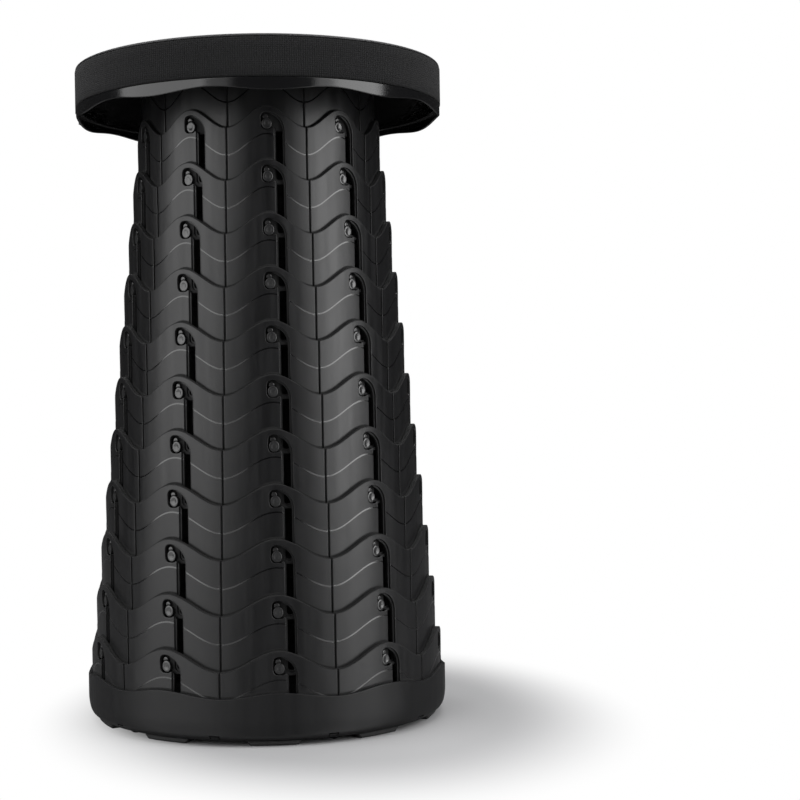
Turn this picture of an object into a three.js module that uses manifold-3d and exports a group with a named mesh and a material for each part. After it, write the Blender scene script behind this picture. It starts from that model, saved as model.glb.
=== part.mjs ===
// Folding stool whose column is twelve nested nylon rings.
// Millimetres, +Z up, origin on the floor under the middle of the seat.
// An azimuth is counted from -Y towards +X.

import * as THREE from 'three';
import { mergeVertices } from 'three/addons/utils/BufferGeometryUtils.js';
import Module from 'manifold-3d';

const wasm = await Module();
wasm.setup();

// Whole stool
const RING_COUNT = 12;
const SECTORS = 10; // pins, slots, wave crests and feet in one turn
const FACETS_PER_SECTOR = 4;
const FACETS = SECTORS * FACETS_PER_SECTOR;
const CLEARANCE = 0.3; // between pieces that touch
const OVERRUN = 2; // how far a cutter passes the face it opens

// Nested rings of the column
const FIRST_RING_RADIUS = 79.62; // outside of the innermost ring
const RING_PITCH = 3.66; // outside radius gained from ring to ring
const RING_GAP = 0.4; // radial play between two rings
const RING_WALL = RING_PITCH - RING_GAP;
const STAGE_TRAVEL = 34.35; // what one ring slides in its neighbour
const CREST_ABOVE_PIN = 11;
const WAVE_DEPTH = 13.1; // crest to trough of a ring's top edge
const PIN_ABOVE_EDGE = 6.7; // lower edge of a ring to its own pins
const SKIN = 0.9; // wall left outside the hidden pin channel

// Locking pins and the J-shaped slots that show them
const PIN_RADIUS = 3.2;
const PIN_SIDES = 6;
const PIN_REACH = RING_PITCH - SKIN - CLEARANCE; // from a ring's outside to the pin's face
const PIN_ROOT = 0.6; // depth of the pin's foot in its wall
const POCKET_LEFT = 3.8;
const POCKET_BELOW = 4.2;
const POCKET_ABOVE = 6.8;
const POCKET_CORNER_SHARES = [0.7, 0.75]; // of the pocket's left side and of its top
const SLOT_NEAR = 5.2; // pin centre to the near side of the guide slot
const SLOT_FAR = 11.4;
const SLOT_END = 3; // closed end of the slot below the centre of the next row's pins
const CHANNEL_WIDTH = 2 * (PIN_RADIUS + CLEARANCE);

// Base tray and feet
const FOOT_HEIGHT = 3.4; // underside of the tray above the floor
const FOOT_INSET = 6.3; // outside of the rim to the pad
const FOOT_BREADTH = 12.7; // along the radius
const FOOT_WIDTH = 32;
const FOOT_STEPS = 3;
const TRAY_FLOOR = 3.2;
const TRAY_HUB_RADIUS = 70;
const TRAY_HUB_LIFT = 0.8; // middle of the underside above its rim
const RIM_WALL = 2.32;
const RIM_CREST_HEIGHT = 30.9; // rim top above the tray's underside
const RIM_WAVE_DEPTH = 3.8;
const RIM_TOE_INSET = 5; // how far the rounded lower edge draws in
const RIM_TOE_HEIGHT = 9;
const RIM_TOE_SHARES = [0.35, 0.3]; // corner of that edge, as shares of inset and height
const NOTCH_WIDTH = 6.2;
const NOTCH_HEIGHT = 2.6;
const NOTCH_DEPTH = 1.4; // from the underside's edge outwards
const BASE_TURN = THREE.MathUtils.degToRad(-1.8); // feet and notches against the pins

// Screwed flanges of the first and last rings
const FLANGE = 2;
const FLANGE_REACH = 13;
const SCREW_COUNT = 5;
const SCREW_SIDES = 6;
const SCREW_SHANK_RADIUS = 1.7;
const SCREW_HEAD_RADIUS = 3.6;
const SCREW_HEAD = 2.2;
const SCREW_COVER = 1.6; // seat left over the blind screw holes

// Seat
const SEAT_EDGE_THICKNESS = 0.8;
const SEAT_CROWN = 2.5; // flat top above the seat's edge
const SEAT_SLOPE = 12.8; // width of the sloped band round the flat top
const SEAT_LIP = 1.6; // edge that stands over the strap
const SEAT_EDGE_BEVEL = 0.5;
const STOP_GAP = 0.4; // ring crests to the underside when folded
const SEAT_WALL = 2.4;
const SKIRT_GAP = 0.4; // skirt to the base's rim when folded
const SKIRT_INSET = 0.2; // skirt inside the seat's edge
const SKIRT_WALL = 1.7;
const SKIRT_CREST = 5.6; // skirt below the strap at a seam
const SKIRT_WAVE_DEPTH = 2.8;
const SKIRT_SHELF = 1.2;

// Middle cap of the seat with its two finger holes
const CAP_RADIUS = 45;
const CAP_FLANGE = 1.6;
const CAP_SPIGOT_RADIUS = 41.2;
const CAP_DEPTH = 5.6;
const FINGER_HOLE_RADIUS = 12.2;
const FINGER_HOLE_OFFSET = 27.3;
const FINGER_SLEEVE_WALL = 1.1;
const FINGER_SLEEVE_DEPTH = 15;
const CAP_FACETS = 32;
const HOLE_FACETS = 16;

// Carrying strap
const WEBBING_WIDTH = 24.4;
const WEBBING = 1.5; // thickness of one layer
const STRAP_TURN = THREE.MathUtils.degToRad(200); // azimuth of the carrying loop
const LOOP_HEIGHT = 70;
const LOOP_HALF_WIDTH = 37.5;
const LOOP_NECK_HALF_WIDTH = 33.5;
const LOOP_TAB = 22; // sewn length of each end of the loop
const LOOP_STEPS = 40;
const LOOP_TAB_SHARES = [1, 0.5, 0.2]; // of the sewn length, from its end to the neck
const LOOP_NECK_SHARES = [0.16, 0.34]; // of the loop's height
const LOOP_SWELL_SHARES = [[1, 0.62], [0.78, 0.86], [0.42, 0.97]]; // of half width and height
const LAYER_PLAY = 0.25; // slack of a second layer of webbing over the strap
const OVERLAP_ANGLE = THREE.MathUtils.degToRad(-92); // middle of the sewn overlap
const OVERLAP_LENGTH = 66;

// Strap adjuster
const ADJUSTER_ANGLE = THREE.MathUtils.degToRad(47);
const ADJUSTER_LENGTH = 26;
const ADJUSTER_RAIL = 3.2;
const ADJUSTER_BAR = 3.6;
const ADJUSTER_DEPTH = 4.6;
const TAIL_LENGTH = 34;
const TAIL_LEAD = 20;
const TAIL_STEPS = 28;

// Heights worked out from the values above
const trayUnderside = FOOT_HEIGHT;
const trayFloorTop = trayUnderside + TRAY_FLOOR;
const lastRingFoot = trayFloorTop + CLEARANCE;
const foldedEdge = lastRingFoot + FLANGE + CLEARANCE; // lower edge of a folded ring
const lastRowHeight = foldedEdge + PIN_ABOVE_EDGE + STAGE_TRAVEL;
const rowHeight = (row) => lastRowHeight + (RING_COUNT - 1 - row) * STAGE_TRAVEL;
const seatUnderside = rowHeight(0) + CREST_ABOVE_PIN + STOP_GAP;
const seatEdgeTop = seatUnderside + SEAT_EDGE_THICKNESS;
const seatTop = seatEdgeTop + SEAT_CROWN;
const firstRingTop = seatUnderside - CLEARANCE;
const strapTop = seatEdgeTop - SEAT_LIP - CLEARANCE;
const strapBottom = strapTop - WEBBING_WIDTH;
const strapMiddle = (strapTop + strapBottom) / 2;

// Radii worked out from the values above
const ringRadius = (ring) => FIRST_RING_RADIUS + ring * RING_PITCH;
const lastRingRadius = ringRadius(RING_COUNT - 1);
const rimInner = lastRingRadius + CLEARANCE;
const rimOuter = rimInner + RIM_WALL;
const skirtInner = rimOuter + SKIRT_GAP;
const skirtOuter = skirtInner + SKIRT_WALL;
const seatRadius = skirtOuter + SKIRT_INSET;
const strapInner = seatRadius - WEBBING + CLEARANCE;
const strapOuter = strapInner + WEBBING;
const seatWallOuter = strapInner - CLEARANCE;
const seatWallInner = seatWallOuter - SEAT_WALL;
const layerInner = strapOuter + CLEARANCE; // second layer of webbing, over the strap
const layerOuter = layerInner + WEBBING;

const TURN = 2 * Math.PI;
const sectorAngle = TURN / SECTORS;
const facetAngle = TURN / FACETS;

const nylon = { color: 0x27272a, roughness: 0.42, metalness: 0 };
const grainedNylon = { color: 0x303033, roughness: 0.6, metalness: 0 };
const webbing = { color: 0x1f1f21, roughness: 0.9, metalness: 0 };
const rubber = { color: 0x1a1a1b, roughness: 0.8, metalness: 0 };
const acetal = { color: 0x38383b, roughness: 0.35, metalness: 0 };
const steel = { color: 0x8d8f92, roughness: 0.35, metalness: 1 };

const stool = new THREE.Group();

// Solids

function toSolid(geometry) {
  const bare = new THREE.BufferGeometry();
  bare.setAttribute('position', geometry.getAttribute('position').clone());
  if (geometry.index) {
    bare.setIndex(geometry.index.clone());
  }
  const merged = mergeVertices(bare);
  return new wasm.Manifold(new wasm.Mesh({
    numProp: 3,
    vertProperties: new Float32Array(merged.getAttribute('position').array),
    triVerts: new Uint32Array(merged.index.array),
  }));
}

function toGeometry(solid) {
  const mesh = solid.getMesh();
  const geometry = new THREE.BufferGeometry();
  geometry.setAttribute('position', new THREE.BufferAttribute(mesh.vertProperties, 3));
  geometry.setIndex(new THREE.BufferAttribute(mesh.triVerts, 1));
  return geometry;
}

function joined(solids) {
  return solids.reduce((whole, solid) => whole.add(solid));
}

function addPiece(name, solid, look) {
  const geometry = toGeometry(solid);
  geometry.computeVertexNormals();
  const mesh = new THREE.Mesh(geometry, new THREE.MeshStandardMaterial({ ...look, flatShading: true }));
  mesh.name = name;
  stool.add(mesh);
}

// A closed profile of [radius, height] pairs turned round the stool's axis. A
// facet is centred on azimuth zero, so that each pin stands on a flat.
function revolved(profile, facets = FACETS) {
  const points = profile.map(([radius, height]) => new THREE.Vector2(radius, height));
  const lathe = new THREE.LatheGeometry(points, facets, Math.PI / facets, TURN);
  lathe.rotateX(Math.PI / 2);
  return lathe;
}

const wave = (azimuth) => (1 - Math.cos(SECTORS * azimuth)) / 2; // 0 at a pin, 1 at a seam

// Moves the vertices at the heights that chosen() picks by rise(azimuth).
function lifted(geometry, chosen, rise) {
  const position = geometry.getAttribute('position');
  for (let i = 0; i < position.count; i += 1) {
    const z = position.getZ(i);
    if (chosen(z)) {
      const azimuth = Math.atan2(position.getX(i), -position.getY(i));
      position.setZ(i, z + rise(azimuth));
    }
  }
  return geometry;
}

// Frame on the column at an azimuth: X runs round it, Y up and Z outwards.
function onColumn(azimuth, radius, height) {
  const round = new THREE.Vector3(Math.cos(azimuth), Math.sin(azimuth), 0);
  const up = new THREE.Vector3(0, 0, 1);
  const out = new THREE.Vector3(Math.sin(azimuth), -Math.cos(azimuth), 0);
  const matrix = new THREE.Matrix4().makeBasis(round, up, out);
  return matrix.setPosition(out.multiplyScalar(radius).add(up.multiplyScalar(height)));
}

// A flat outline pushed outwards from one radius to another.
function pushed(outline, azimuth, from, to, height) {
  const shape = new THREE.Shape(outline.map(([x, y]) => new THREE.Vector2(x, y)));
  const geometry = new THREE.ExtrudeGeometry(shape, { depth: to - from, bevelEnabled: false });
  return toSolid(geometry.applyMatrix4(onColumn(azimuth, from, height)));
}

const rectangle = (left, right, low, high) => [[left, low], [right, low], [right, high], [left, high]];

function roundBar(azimuth, from, to, radius, height, sides) {
  const bar = new THREE.CylinderGeometry(radius, radius, to - from, sides, 1);
  bar.rotateX(Math.PI / 2);
  bar.translate(0, 0, (to - from) / 2);
  return toSolid(bar.applyMatrix4(onColumn(azimuth, from, height)));
}

function upright(x, y, low, high, radius, sides) {
  const post = new THREE.CylinderGeometry(radius, radius, high - low, sides, 1);
  post.rotateX(Math.PI / 2);
  post.translate(x, y, (low + high) / 2);
  return toSolid(post);
}

const place = (radius, azimuth) => [radius * Math.sin(azimuth), -radius * Math.cos(azimuth)];

const pinAzimuths = Array.from({ length: SECTORS }, (_, k) => k * sectorAngle);
const seamAzimuths = pinAzimuths.map((azimuth) => azimuth + sectorAngle / 2);
const screwAzimuths = Array.from({ length: SCREW_COUNT }, (_, k) => seamAzimuths[2 * k]);

// Rings

// Outline of the opening round a pin: the pocket in which the pin stands, and
// the guide slot beside it that runs down behind the next ring.
function slotOutline() {
  const slotEnd = -STAGE_TRAVEL - SLOT_END;
  const [footShare, shoulderShare] = POCKET_CORNER_SHARES;
  return [
    [-POCKET_LEFT * footShare, -POCKET_BELOW],
    [SLOT_NEAR, -POCKET_BELOW],
    [SLOT_NEAR, slotEnd],
    [SLOT_FAR, slotEnd],
    [SLOT_FAR, 0],
    [SLOT_NEAR, POCKET_ABOVE],
    [-POCKET_LEFT, POCKET_ABOVE * shoulderShare],
  ];
}

// Closed profile of a ring. A flange at its top or its foot points inwards.
function ringProfile(ring, lowerEdge, topEdge, flangeAt = 'none') {
  const outer = ringRadius(ring);
  const inner = outer - RING_WALL;
  const flangeInner = outer - FLANGE_REACH;
  if (flangeAt === 'top') {
    return [
      [inner, lowerEdge],
      [outer, lowerEdge],
      [outer, topEdge],
      [flangeInner, topEdge],
      [flangeInner, topEdge - FLANGE],
      [inner, topEdge - FLANGE],
      [inner, lowerEdge],
    ];
  }
  if (flangeAt === 'foot') {
    return [
      [flangeInner, lowerEdge],
      [outer, lowerEdge],
      [outer, topEdge],
      [inner, topEdge],
      [inner, lowerEdge + FLANGE],
      [flangeInner, lowerEdge + FLANGE],
      [flangeInner, lowerEdge],
    ];
  }
  return [[inner, lowerEdge], [outer, lowerEdge], [outer, topEdge], [inner, topEdge], [inner, lowerEdge]];
}

function ringPins(ring, height) {
  const from = ringRadius(ring) * Math.cos(facetAngle / 2);
  return pinAzimuths.map((azimuth) => (
    roundBar(azimuth, from - PIN_ROOT, from + PIN_REACH, PIN_RADIUS, height, PIN_SIDES)
  ));
}

function ringOpenings(ring, height, channelEnd) {
  const outer = ringRadius(ring);
  const inner = outer - RING_WALL;
  const skinFace = outer * Math.cos(facetAngle / 2) - SKIN;
  const channelSide = CHANNEL_WIDTH / 2;
  const channel = rectangle(-channelSide, channelSide, channelEnd - height, POCKET_BELOW);
  return pinAzimuths.flatMap((azimuth) => [
    pushed(slotOutline(), azimuth, inner - OVERRUN, outer + OVERRUN, height),
    pushed(channel, azimuth, inner - OVERRUN, skinFace, height),
  ]);
}

const flangeScrewRadius = (ring) => ringRadius(ring) - FLANGE_REACH + SCREW_HEAD_RADIUS + CLEARANCE;

function screwHoles(radius, low, high) {
  return joined(screwAzimuths.map((azimuth) => (
    upright(...place(radius, azimuth), low, high, SCREW_SHANK_RADIUS + CLEARANCE, SCREW_SIDES)
  )));
}

function makeFirstRing() {
  const lowerEdge = rowHeight(1) - PIN_ABOVE_EDGE;
  const wall = toSolid(revolved(ringProfile(0, lowerEdge, firstRingTop, 'top')));
  const low = firstRingTop - FLANGE - OVERRUN;
  const holes = screwHoles(flangeScrewRadius(0), low, firstRingTop + OVERRUN);
  addPiece('ring_01', joined([wall, ...ringPins(0, rowHeight(1))]).subtract(holes), nylon);
}

function makeRing(ring) {
  const last = ring === RING_COUNT - 1;
  const height = rowHeight(ring);
  const lowerEdge = last ? lastRingFoot : rowHeight(ring + 1) - PIN_ABOVE_EDGE;
  const crest = height + CREST_ABOVE_PIN;
  const middle = (lowerEdge + crest) / 2;
  const tube = revolved(ringProfile(ring, lowerEdge, crest, last ? 'foot' : 'none'));
  const wall = toSolid(lifted(tube, (z) => z > middle, (azimuth) => -WAVE_DEPTH * wave(azimuth)));
  const openings = joined(ringOpenings(ring, height, last ? foldedEdge : lowerEdge - OVERRUN));
  let body = wall.subtract(openings);
  if (last) {
    body = body.subtract(screwHoles(flangeScrewRadius(ring), lowerEdge - OVERRUN, foldedEdge + OVERRUN));
  } else {
    body = joined([body, ...ringPins(ring, rowHeight(ring + 1))]);
  }
  addPiece(`ring_${String(ring + 1).padStart(2, '0')}`, body, nylon);
}

// Base

function makeTray() {
  const rimTop = trayUnderside + RIM_CREST_HEIGHT;
  const toe = rimOuter - RIM_TOE_INSET;
  const [insetShare, heightShare] = RIM_TOE_SHARES;
  const profile = [
    [0, trayUnderside + TRAY_HUB_LIFT],
    [TRAY_HUB_RADIUS, trayUnderside + TRAY_HUB_LIFT],
    [TRAY_HUB_RADIUS + TRAY_HUB_LIFT, trayUnderside],
    [toe, trayUnderside],
    [rimOuter - RIM_TOE_INSET * insetShare, trayUnderside + RIM_TOE_HEIGHT * heightShare],
    [rimOuter, trayUnderside + RIM_TOE_HEIGHT],
    [rimOuter, rimTop],
    [rimInner, rimTop],
    [rimInner, trayFloorTop],
    [0, trayFloorTop],
  ];
  const middle = (trayUnderside + rimTop) / 2;
  const tray = lifted(revolved(profile), (z) => z > middle, (azimuth) => -RIM_WAVE_DEPTH * wave(azimuth));
  const notch = rectangle(-NOTCH_WIDTH / 2, NOTCH_WIDTH / 2, -OVERRUN, NOTCH_HEIGHT);
  const notches = seamAzimuths.map((azimuth) => (
    pushed(notch, azimuth + BASE_TURN, toe + NOTCH_DEPTH, rimOuter + OVERRUN, trayUnderside)
  ));
  const ring = RING_COUNT - 1;
  const holes = screwHoles(flangeScrewRadius(ring), trayUnderside - OVERRUN, trayFloorTop + OVERRUN);
  addPiece('base_tray', toSolid(tray).subtract(joined([...notches, holes])), nylon);
}

function makeFeet() {
  const footOuter = rimOuter - FOOT_INSET;
  const footInner = footOuter - FOOT_BREADTH;
  const half = FOOT_WIDTH / (footOuter + footInner);
  pinAzimuths.forEach((azimuth, k) => {
    const middle = azimuth + BASE_TURN - Math.PI / 2;
    const shape = new THREE.Shape();
    shape.absarc(0, 0, footOuter, middle - half, middle + half, false);
    shape.absarc(0, 0, footInner, middle + half, middle - half, true);
    const depth = FOOT_HEIGHT - CLEARANCE;
    const pad = new THREE.ExtrudeGeometry(shape, { curveSegments: FOOT_STEPS, depth, bevelEnabled: false });
    addPiece(`foot_${String(k + 1).padStart(2, '0')}`, toSolid(pad), rubber);
  });
}

// Seat

function makeSeat() {
  const recessFloor = seatTop - CAP_FLANGE - CLEARANCE;
  const shelf = strapBottom - CLEARANCE;
  const skirtLow = shelf - SKIRT_CREST - SKIRT_WAVE_DEPTH;
  const profile = [
    [CAP_SPIGOT_RADIUS + CLEARANCE, seatUnderside],
    [seatWallInner, seatUnderside],
    [seatWallInner, shelf - SKIRT_SHELF],
    [skirtInner, shelf - SKIRT_SHELF],
    [skirtInner, skirtLow],
    [skirtOuter, skirtLow],
    [skirtOuter, shelf],
    [seatWallOuter, shelf],
    [seatWallOuter, strapTop + CLEARANCE],
    [seatRadius, strapTop + CLEARANCE],
    [seatRadius, seatEdgeTop - SEAT_EDGE_BEVEL],
    [seatRadius - SEAT_EDGE_BEVEL, seatEdgeTop],
    [seatRadius - SEAT_SLOPE, seatTop],
    [CAP_RADIUS + CLEARANCE, seatTop],
    [CAP_RADIUS + CLEARANCE, recessFloor],
    [CAP_SPIGOT_RADIUS + CLEARANCE, recessFloor],
    [CAP_SPIGOT_RADIUS + CLEARANCE, seatUnderside],
  ];
  const hem = skirtLow + SKIRT_CREST / 2;
  const shell = lifted(revolved(profile), (z) => z < hem, (azimuth) => SKIRT_WAVE_DEPTH * wave(azimuth));
  const holes = screwHoles(flangeScrewRadius(0), seatUnderside - OVERRUN, seatTop - SCREW_COVER);
  addPiece('seat_shell', toSolid(shell).subtract(holes), grainedNylon);
}

function makeCap() {
  const flangeBottom = seatTop - CAP_FLANGE;
  const bottom = seatTop - CAP_DEPTH;
  const sleeveEnd = seatTop - FINGER_SLEEVE_DEPTH;
  const disc = toSolid(revolved([
    [0, bottom],
    [CAP_SPIGOT_RADIUS, bottom],
    [CAP_SPIGOT_RADIUS, flangeBottom],
    [CAP_RADIUS, flangeBottom],
    [CAP_RADIUS, seatTop],
    [0, seatTop],
  ], CAP_FACETS));
  const centres = [0, Math.PI].map((turn) => place(FINGER_HOLE_OFFSET, STRAP_TURN + turn));
  const sleeveRadius = FINGER_HOLE_RADIUS + FINGER_SLEEVE_WALL;
  const sleeves = centres.map(([x, y]) => (
    upright(x, y, sleeveEnd, seatTop - CAP_FLANGE / 2, sleeveRadius, HOLE_FACETS)
  ));
  const holes = centres.map(([x, y]) => (
    upright(x, y, sleeveEnd - OVERRUN, seatTop + OVERRUN, FINGER_HOLE_RADIUS, HOLE_FACETS)
  ));
  addPiece('seat_cap', joined([disc, ...sleeves]).subtract(joined(holes)), grainedNylon);
}

// Screws, each with its head below and its tip above

function makeScrews(prefix, radius, headFace, tip) {
  const headEnd = headFace - SCREW_HEAD;
  screwAzimuths.forEach((azimuth, k) => {
    const [x, y] = place(radius, azimuth);
    const head = upright(x, y, headEnd, headFace, SCREW_HEAD_RADIUS, SCREW_SIDES);
    const shank = upright(x, y, headFace - SCREW_HEAD / 2, tip, SCREW_SHANK_RADIUS, SCREW_SIDES);
    addPiece(`${prefix}_${k + 1}`, head.add(shank), steel);
  });
}

function makeSeatScrews() {
  const headFace = firstRingTop - FLANGE - CLEARANCE;
  makeScrews('seat_screw', flangeScrewRadius(0), headFace, seatTop - SCREW_COVER - CLEARANCE);
}

function makeBaseScrews() {
  const headFace = trayUnderside - CLEARANCE;
  makeScrews('base_screw', flangeScrewRadius(RING_COUNT - 1), headFace, foldedEdge - CLEARANCE);
}

// Strap

// A band of webbing that follows a path of [x, y] points, seen from above.
function ribbon(path, low, high) {
  const left = [];
  const right = [];
  path.forEach((point, i) => {
    const before = path[Math.max(i - 1, 0)];
    const after = path[Math.min(i + 1, path.length - 1)];
    const along = new THREE.Vector2(after[0] - before[0], after[1] - before[1]).normalize();
    const aside = new THREE.Vector2(-along.y, along.x).multiplyScalar(WEBBING / 2);
    left.push(new THREE.Vector2(...point).add(aside));
    right.unshift(new THREE.Vector2(...point).sub(aside));
  });
  const shape = new THREE.Shape([...left, ...right]);
  const geometry = new THREE.ExtrudeGeometry(shape, { depth: high - low, bevelEnabled: false });
  geometry.translate(0, 0, low);
  return toSolid(geometry);
}

const layerMiddle = (layerInner + layerOuter) / 2;
const onLayer = (angle, lift = 0) => place(layerMiddle + lift, STRAP_TURN + angle);

function makeBand() {
  const band = revolved([
    [strapInner, strapBottom],
    [strapOuter, strapBottom],
    [strapOuter, strapTop],
    [strapInner, strapTop],
    [strapInner, strapBottom],
  ]);
  addPiece('strap_band', toSolid(band), webbing);
}

// The loop leaves the rim at a sewn tab, narrows at its neck, swells and turns
// back.
function makeLoop() {
  const tab = LOOP_TAB / layerMiddle;
  const neck = LOOP_NECK_HALF_WIDTH / layerMiddle;
  const side = [
    ...LOOP_NECK_SHARES.map((share) => [LOOP_NECK_HALF_WIDTH, share]),
    ...LOOP_SWELL_SHARES.map(([wideShare, share]) => [LOOP_HALF_WIDTH * wideShare, share]),
  ];
  const outwards = (sideways, share) => {
    const reach = layerMiddle * Math.cos(neck) + share * LOOP_HEIGHT;
    const angle = Math.atan2(sideways, reach);
    return new THREE.Vector3(...place(Math.hypot(sideways, reach), STRAP_TURN + angle), 0);
  };
  const half = (sign) => [
    ...LOOP_TAB_SHARES.map((share) => (
      new THREE.Vector3(...onLayer(sign * (neck + tab * share)), 0)
    )),
    ...side.map(([sideways, share]) => outwards(sign * sideways, share)),
  ];
  const points = [...half(-1), outwards(0, 1), ...half(1).reverse()];
  const curve = new THREE.CatmullRomCurve3(points, false, 'centripetal');
  const path = curve.getPoints(LOOP_STEPS).map((point) => [point.x, point.y]);
  addPiece('carry_loop', ribbon(path, strapBottom, strapTop), webbing);
}

function makeOverlap() {
  const half = OVERLAP_LENGTH / 2 / layerMiddle;
  const steps = Math.ceil((2 * half) / (facetAngle / 2));
  const path = Array.from({ length: steps + 1 }, (_, i) => (
    onLayer(OVERLAP_ANGLE + half * ((2 * i) / steps - 1), LAYER_PLAY)
  ));
  addPiece('strap_overlap', ribbon(path, strapBottom, strapTop), webbing);
}

// The free end of the strap climbs over the adjuster's middle bar.
function makeTail() {
  const hump = ADJUSTER_DEPTH - WEBBING - CLEARANCE;
  const from = -TAIL_LEAD / layerMiddle;
  const to = TAIL_LENGTH / layerMiddle;
  const window = (ADJUSTER_LENGTH - 2 * ADJUSTER_BAR) / 2 / layerMiddle;
  const path = Array.from({ length: TAIL_STEPS + 1 }, (_, i) => {
    const angle = from + ((to - from) * i) / TAIL_STEPS;
    const near = Math.min(Math.abs(angle) / window, 1);
    return onLayer(ADJUSTER_ANGLE + angle, hump * (1 - near ** 2) ** 2 + LAYER_PLAY);
  });
  addPiece('strap_tail', ribbon(path, strapBottom, strapTop), webbing);
}

// A three-bar slide: two rails, two end bars over the strap and a middle bar
// under it.
function makeAdjuster() {
  const azimuth = STRAP_TURN + ADJUSTER_ANGLE;
  const inner = layerInner + LAYER_PLAY;
  const outer = inner + ADJUSTER_DEPTH;
  const half = ADJUSTER_LENGTH / 2;
  const barHalf = ADJUSTER_BAR / 2;
  const endBar = half - ADJUSTER_BAR;
  const width = WEBBING_WIDTH / 2 + CLEARANCE;
  const passage = WEBBING + 2 * CLEARANCE;
  const slab = (left, right, halfWidth, from, to) => (
    pushed(rectangle(left, right, -halfWidth, halfWidth), azimuth, from, to, strapMiddle)
  );
  const block = slab(-half, half, width + ADJUSTER_RAIL, inner, outer);
  const cuts = [
    slab(-endBar, -barHalf, width, inner - OVERRUN, outer + OVERRUN),
    slab(barHalf, endBar, width, inner - OVERRUN, outer + OVERRUN),
    slab(-half - OVERRUN, -barHalf, width, inner - OVERRUN, inner + passage),
    slab(barHalf, half + OVERRUN, width, inner - OVERRUN, inner + passage),
    slab(-endBar, endBar, width, outer - passage - WEBBING, outer + OVERRUN),
  ];
  addPiece('strap_adjuster', block.subtract(joined(cuts)), acetal);
}

makeTray();
makeFeet();
makeFirstRing();
for (let ring = 1; ring < RING_COUNT; ring += 1) {
  makeRing(ring);
}
makeSeat();
makeCap();
makeSeatScrews();
makeBaseScrews();
makeBand();
makeLoop();
makeOverlap();
makeTail();
makeAdjuster();

export default stool;
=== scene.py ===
# A folding stool whose column is twelve nested nylon rings under a flat seat with a carrying
# strap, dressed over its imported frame. Metres, +Z up, origin on the floor under the middle of
# the seat. An azimuth is counted from -Y towards +X, and locking pins stand at each tenth turn.

import math

import bmesh
import bpy
import numpy as np
from mathutils import Matrix, Vector
from mathutils.geometry import delaunay_2d_cdt


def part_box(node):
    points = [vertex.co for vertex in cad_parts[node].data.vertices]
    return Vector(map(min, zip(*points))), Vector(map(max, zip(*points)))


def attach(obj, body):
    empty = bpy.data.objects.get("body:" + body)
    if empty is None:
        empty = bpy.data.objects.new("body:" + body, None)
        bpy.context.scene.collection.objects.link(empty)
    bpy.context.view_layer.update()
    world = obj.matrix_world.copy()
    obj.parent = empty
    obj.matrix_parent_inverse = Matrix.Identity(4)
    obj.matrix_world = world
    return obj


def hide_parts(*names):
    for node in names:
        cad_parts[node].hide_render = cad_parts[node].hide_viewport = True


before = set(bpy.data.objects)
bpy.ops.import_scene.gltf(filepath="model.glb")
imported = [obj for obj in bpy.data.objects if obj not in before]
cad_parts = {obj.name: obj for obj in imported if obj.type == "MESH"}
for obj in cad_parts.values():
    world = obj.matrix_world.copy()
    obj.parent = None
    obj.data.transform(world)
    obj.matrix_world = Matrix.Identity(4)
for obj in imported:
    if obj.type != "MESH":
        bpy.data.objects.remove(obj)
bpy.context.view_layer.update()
MM = 0.001


# Camera. It stands a little over a metre in front of the stool, at the height of the middle of
# the column, turned and tilted as the photograph was taken. Its lens is shifted a little, as
# the stool stands in the left of the frame.
CAMERA_PLACE = (-69.8 * MM, -1119.1 * MM, 222.9 * MM)
CAMERA_YAW = math.radians(5.606)
CAMERA_PITCH = math.radians(-0.482)
CAMERA_ROLL = math.radians(-0.916)
CAMERA_LENS = 72.94
CAMERA_SHIFT = 0.099
SENSOR_WIDTH = 36


def add_camera():
    data = bpy.data.cameras.new("camera")
    data.lens = CAMERA_LENS
    data.sensor_width = SENSOR_WIDTH
    data.shift_x = CAMERA_SHIFT
    camera = bpy.data.objects.new("camera", data)
    level = math.cos(CAMERA_PITCH)
    ahead = Vector((math.sin(CAMERA_YAW) * level, math.cos(CAMERA_YAW) * level, math.sin(CAMERA_PITCH)))
    side = ahead.cross(Vector((0, 0, 1))).normalized()
    upward = side.cross(ahead)
    right = side * math.cos(CAMERA_ROLL) + upward * math.sin(CAMERA_ROLL)
    above = right.cross(ahead)
    stand = Matrix((right, above, -ahead)).transposed().to_4x4()
    stand.translation = CAMERA_PLACE
    camera.matrix_world = stand
    bpy.context.scene.collection.objects.link(camera)
    bpy.context.scene.camera = camera


add_camera()


# Studio. A pale floor that fades into a white surround, a wide soft light on the left, a
# narrower one on the right, a weak strip on each side of the camera, one light above and two
# behind, as a catalogue photograph has them.
FLOOR_RADIUS = 4.0
FLOOR_SIDES = 64
FLOOR_COLOUR = (0.43, 0.43, 0.436, 1)
FLOOR_SHEEN = (0.5, 0.5, 0.5, 1)
FLOOR_SHEEN_ROUGHNESS = 0.15
SHEEN_SHARE = 0.75  # of that sheen in the floor, where a gloss looks at it
FADE_MIDDLE = (45 * MM, -10 * MM, 0)
FADE_NARROW = (1.35, 1, 1)
FADE_START = 0.15
FADE_END = 0.285
SURROUND_LIGHT = 0.11
SURROUND_GLOSS = 0.02
WHITE = (1, 1, 1, 1)
LIGHT_AIM = Vector((0, 0, 0.24))


def feed(tree, socket, value):
    """Links another node's socket to a socket, or sets it to a plain value."""
    if isinstance(value, bpy.types.NodeSocket):
        tree.links.new(value, socket)
    else:
        socket.default_value = value


def node(tree, kind, inputs=None, **settings):
    """A new node with its settings, and with what feeds each input that is named or numbered."""
    made = tree.nodes.new(kind)
    for name, value in settings.items():
        setattr(made, name, value)
    for name, value in (inputs or {}).items():
        feed(tree, made.inputs[name], value)
    return made


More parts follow.
